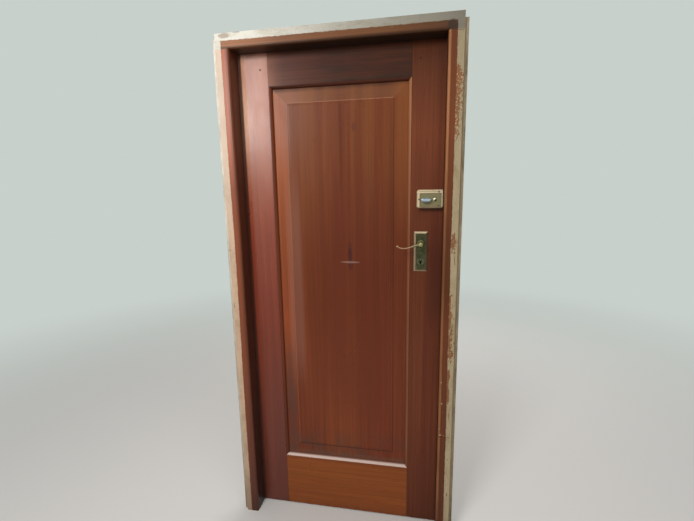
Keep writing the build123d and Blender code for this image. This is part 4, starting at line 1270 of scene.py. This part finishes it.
class DOOR_OT_small_turnings(DoorOperator, bpy.types.Operator):
    """Build the snib's button and the curtain that closes the keyhole's slot inside the lock"""

    bl_idname = "door.small_turnings"
    bl_label = "Snib button and lock curtain"

    def make(self, scene):
        low, high = np.array(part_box("night_latch_snib"), dtype=float)
        centre = ((low[0] + high[0]) / 2, (low[2] + high[2]) / 2)
        crown = np.linspace(0, np.pi / 2, 9)
        depth = low[1] - 4 * MM + 3 * MM * (1 - np.cos(crown))
        dome = np.stack([6.0 * MM * np.sin(crown), depth], -1)
        stem = np.array(SNIB_STEM) * MM + (0, low[1] - MM)
        rings = turned_rings(centre, np.concatenate([dome, stem]))
        button = skin("snib_button", rings, self.snib_polish(centre))
        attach(button, "night_snib")
        section = np.array(CURTAIN_SECTION) * MM + (0, sum(span(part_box("lock_case"), "Y")) / 2)
        rings = turned_rings(KEYHOLE, section)
        curtain = skin("lock_curtain", rings, self.curtain_iron(), hoop=True)
        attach(curtain, "leaf")

    def curtain_iron(self):
        """Greasy iron, near black as painted shade inside the lock behind the keyhole."""
        finish = Finish("curtain_iron")
        patches = finish.noise(200.0, seed=3.0, detail=4.0)
        finish.relief(patches, 0.05 * MM, 0.3)
        return finish.set(
            Base_Color=finish.ramp(patches, (0.3, srgb(8, 8, 7)), (0.7, srgb(22, 20, 18))),
            Roughness=finish.ramp(patches, (0.3, 0.6), (0.7, 0.8)),
            Specular_IOR_Level=0.2,
        )

    def snib_polish(self, centre):
        """Pale metal with a painted highlight, and black painted shade on its lower right."""
        finish = Finish("snib_polish")
        patches = finish.noise(300.0, seed=8.0, detail=3.0)
        lean = finish.minus(finish.minus(finish.x, centre[0]), finish.minus(finish.z, centre[1]))
        # painted shade on the lower right, painted highlight on the rest
        dark = finish.rise(finish.scaled(patches, MM, lean), -0.5 * MM, 4.5 * MM)
        finish.relief(patches, 0.02 * MM, 0.2)
        return finish.set(
            Base_Color=finish.mix(dark, srgb(236, 230, 206), srgb(16, 14, 10)),
            Metallic=0.3,
            Roughness=finish.ramp(patches, (0.3, 0.3), (0.7, 0.42)),
        )


class DOOR_OT_springs(DoorOperator, bpy.types.Operator):
    """Build the two bolt springs"""

    bl_idname = "door.springs"
    bl_label = "Bolt springs"

    def make(self, scene):
        thickness = 0.5 * MM
        for node, joint, coils in (
            ("lock_latch_spring", "latch_slide", 9),
            ("night_latch_spring", "night_bolt_slide", 8),
        ):
            low, high = np.array(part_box(node), dtype=float)
            middle = (low + high) / 2
            start = np.array((low[0] + thickness, *middle[1:]))
            end = np.array((high[0] - thickness, *middle[1:]))
            radius = (high[2] - low[2]) / 2 - thickness
            rings = coil_rings(start, end, radius, thickness, coils)
            steel = metal(f"{node}_steel", scene.door_metal.steel, 0.3)
            spring = skin(f"{node}_coil", rings, steel)
            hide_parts(node)
            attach(spring, "leaf")
            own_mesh(spring)


LEVER_RUN = (  # across and up from the lever's axis, in mm
    (0, 0),
    (-18, -2.4),
    (-34, -7.6),
    (-50, -13.2),
    (-64, -15.4),
    (-76, -14.8),
    (-84, -11.6),
    (-90, -7.6),
)
NECK_PROFILE = (  # radius and depth behind the neck's front, in mm
    *((11, 9.5), (10.6, 12), (9.4, 15), (8.2, 19), (8.0, 23), (8.8, 27.5), (10.6, 31.5)),
    *((12.0, 34), (13.8, 36.2), (14.4, 38.0), (14.2, 38.9), (0, 38.9)),
)
DOME_DEPTH = 8 * MM


class DOOR_OT_levers(DoorOperator, bpy.types.Operator):
    """Build the slim levers on their turned necks, one on each face"""

    bl_idname = "door.levers"
    bl_label = "Levers"

    def make(self, scene):
        neck_front = span(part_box("front_lever"), "Y")[0]
        back = span(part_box("back_lever"), "Y")[1]
        shapes = self.shapes(scene.door_lever, neck_front)
        brass = arm_brass(scene.door_metal)
        finishes = {"arm": brass, "tip": brass, "neck": neck_brass()}
        for face in ("front", "back"):
            for part, shape in shapes.items():
                placed = shape.copy()
                if face == "back":
                    placed[..., 1] = neck_front + back - placed[..., 1]
                piece = skin(f"{face}_lever_{part}", placed, finishes[part])
                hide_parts(f"{face}_lever")
                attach(piece, "handles")

    def shapes(self, sizes, neck_front):
        """Rings of the front lever's arm, tip and neck."""
        x, z = LEVER_AXIS
        depth = neck_front + DOME_DEPTH
        path = through([(x + dx * MM, depth, z + dz * MM) for dx, dz in LEVER_RUN], 90)
        waist = sizes.waist
        swell = [sizes.root, sizes.root, 1.4 * waist, waist, waist, 1.7 * waist]
        share = np.linspace(0, 1, len(path))
        thick = np.interp(share, [0, 0.12, 0.35, 0.65, 0.9, 1], swell)
        thick[0] = thick[-1] = 0
        turn = np.linspace(0, np.pi, 24)
        ball = np.stack([sizes.curl * np.sin(turn), depth - sizes.curl * np.cos(turn)], -1)
        turn = np.linspace(0, np.pi / 2, 10)
        dome = np.stack([11 * MM * np.sin(turn), neck_front + DOME_DEPTH * (1 - np.cos(turn))], -1)
        turned = np.array(NECK_PROFILE) * MM + (0, neck_front)
        neck = np.concatenate([dome, through(turned[:-1], 60), turned[-1:]])
        return {
            "arm": bar_rings(path, thick, 1.1 * thick),
            "tip": turned_rings((path[-1][0], path[-1][2]), ball, 32),
            "neck": turned_rings(LEVER_AXIS, neck),
        }


LAMPS = (  # name, place, aim, size, power, and the rays that don't see it
    ("key", (-0.62, -2.1, 2.5), (0.0, 0.05, 1.1), (0.8, 0.8), 44, "visible_glossy"),
    ("sheen", (-1.18, -1.8, 2.25), (-0.38, 0.07, 1.875), (0.3, 0.65), 23, "visible_diffuse"),
    ("sheen_low", (-1.18, -1.8, 1.25), (-0.38, 0.07, 1.375), (0.3, 1.4), 1.5, "visible_diffuse"),
    ("fill", (0.9, -1.6, 3.9), (0.0, 0.05, 1.0), (1.6, 1.2), 20, None),
    ("rear", (0.6, 3.2, 2.6), (0.0, 0.1, 1.1), (2.4, 1.6), 60, None),
)
FLOOR_REACH = 14.0
PICTURE_WIDTH = 694
SENSOR_WIDTH = 36.0
FOCAL_PIXELS = 388.14
CAMERA_PLACE = (0.3136, -1.4937, 1.4908)
CAMERA_TURN = (10.437, -10.303, -0.967)  # yaw, pitch and roll in degrees


class DOOR_OT_stage(DoorOperator, bpy.types.Operator):
    """Set the floor, the lamps, the world and the camera"""

    bl_idname = "door.stage"
    bl_label = "Stage"

    def make(self, scene):
        self.ground(scene, scene.door_stage)
        self.world(scene, scene.door_stage)
        for name, place, aim, size, power, unseen in LAMPS:
            lamp = self.lamp(scene, name, place, aim, size, power)
            if unseen:
                setattr(lamp, unseen, False)
        self.camera(scene)

    def ground(self, scene, settings):
        """A wide floor that fades into the backdrop, for the camera, well away from the door."""
        signs = ((-1, -1), (1, -1), (1, 1), (-1, 1))
        corners = [(x * FLOOR_REACH, y * FLOOR_REACH, 0) for x, y in signs]
        mesh = bpy.data.meshes.new("floor")
        mesh.from_pydata(corners, [], [(0, 1, 2, 3)])
        pale = Finish("floor_pale")
        mesh.materials.append(pale.set(Base_Color=tuple(settings.floor), Roughness=0.9))
        away = pale.node("ShaderNodeVectorMath", [pale.place], operation="LENGTH").outputs["Value"]
        seen = pale.node("ShaderNodeLightPath").outputs["Is Camera Ray"]
        glow = pale.node("ShaderNodeEmission", [tuple(settings.backdrop), 1.0]).outputs[0]
        share = pale.both(pale.rise(away, 1.2, 5.0), seen)
        blend = pale.node("ShaderNodeMixShader", [share, pale.shader.outputs[0], glow])
        feed(pale.tree, pale.output.inputs["Surface"], blend.outputs[0])
        floor = bpy.data.objects.new("floor", mesh)
        scene.collection.objects.link(floor)

    def lamp(self, scene, name, place, aim, size, power):
        """A rectangular lamp at a place, turned to an aim."""
        data = bpy.data.lights.new(name, "AREA")
        data.shape, data.size, data.size_y, data.energy = "RECTANGLE", *size, power
        lamp = bpy.data.objects.new(name, data)
        scene.collection.objects.link(lamp)
        back = np.array(place, dtype=float) - np.array(aim)
        back /= np.linalg.norm(back)
        side = np.cross((0, 0, 1), back)
        side /= np.linalg.norm(side)
        self.stand(lamp, place, side, np.cross(back, side), back)
        return lamp

    def stand(self, thing, place, side, up, back):
        """Places a thing by its own three axes."""
        matrix = np.eye(4)
        matrix[:3, 0], matrix[:3, 1], matrix[:3, 2], matrix[:3, 3] = side, up, back, place
        thing.matrix_world = Matrix(matrix.tolist())

    def world(self, scene, settings):
        """Plain light from all round, and the backdrop for camera, glossy and transmitted rays."""
        scene.world = bpy.data.worlds.new("studio")
        scene.world.use_nodes = True
        tree = scene.world.node_tree
        tree.nodes.clear()
        rays = wire(tree, "ShaderNodeLightPath").outputs
        seen = rays["Is Camera Ray"]
        for name in ("Is Transmission Ray", "Is Glossy Ray"):
            seen = wire(tree, "ShaderNodeMath", [seen, rays[name]], operation="MAXIMUM").outputs[0]
        plain = wire(tree, "ShaderNodeBackground", [(1.0, 1.0, 1.0), settings.ambient]).outputs[0]
        pale = wire(tree, "ShaderNodeBackground", [tuple(settings.backdrop), 1.0]).outputs[0]
        blend = wire(tree, "ShaderNodeMixShader", [seen, plain, pale]).outputs[0]
        wire(tree, "ShaderNodeOutputWorld", [blend])

    def camera(self, scene):
        """The photo's own viewpoint."""
        data = bpy.data.cameras.new("camera")
        data.sensor_width = SENSOR_WIDTH
        data.lens = SENSOR_WIDTH * FOCAL_PIXELS / PICTURE_WIDTH
        camera = bpy.data.objects.new("camera", data)
        scene.collection.objects.link(camera)
        yaw, pitch, roll = np.radians(CAMERA_TURN)
        ahead = np.array(
            [-np.sin(yaw) * np.cos(pitch), np.cos(yaw) * np.cos(pitch), np.sin(pitch)]
        )
        side = np.array([np.cos(yaw), np.sin(yaw), 0.0])
        up = np.cross(side, ahead)
        rolled_side = np.cos(roll) * side + np.sin(roll) * up
        rolled_up = np.cos(roll) * up - np.sin(roll) * side
        self.stand(camera, CAMERA_PLACE, rolled_side, rolled_up, -ahead)
        scene.camera = camera


class DOOR_PT_sidebar(bpy.types.Panel):
    """The door's steps and settings"""

    bl_label = "Panelled front door"
    bl_idname = "DOOR_PT_sidebar"
    bl_space_type = "VIEW_3D"
    bl_region_type = "UI"
    bl_category = "Door"

    def draw(self, context):
        for step in STEPS:
            self.layout.operator(step.bl_idname)
        for name, group in SETTINGS.items():
            box = self.layout.box()
            settings = getattr(context.scene, name)
            for prop in group.__annotations__:
                box.prop(settings, prop)


STEPS = (
    DOOR_OT_leaf,
    DOOR_OT_frame,
    DOOR_OT_metalwork,
    DOOR_OT_night_latch,
    DOOR_OT_small_turnings,
    DOOR_OT_springs,
    DOOR_OT_levers,
    DOOR_OT_stage,
)
CLASSES = (*SETTINGS.values(), *STEPS, DOOR_PT_sidebar)


def register():
    for cls in CLASSES:
        bpy.utils.register_class(cls)
    for name, group in SETTINGS.items():
        setattr(bpy.types.Scene, name, bpy.props.PointerProperty(type=group))


def unregister():
    for name in SETTINGS:
        delattr(bpy.types.Scene, name)
    for cls in reversed(CLASSES):
        bpy.utils.unregister_class(cls)


def main():
    register()
    bpy.context.scene.view_settings.view_transform = "Standard"
    for step in STEPS:
        area, name = step.bl_idname.split(".")
        getattr(getattr(bpy.ops, area), name)()


if __name__ == "__main__":
    main()
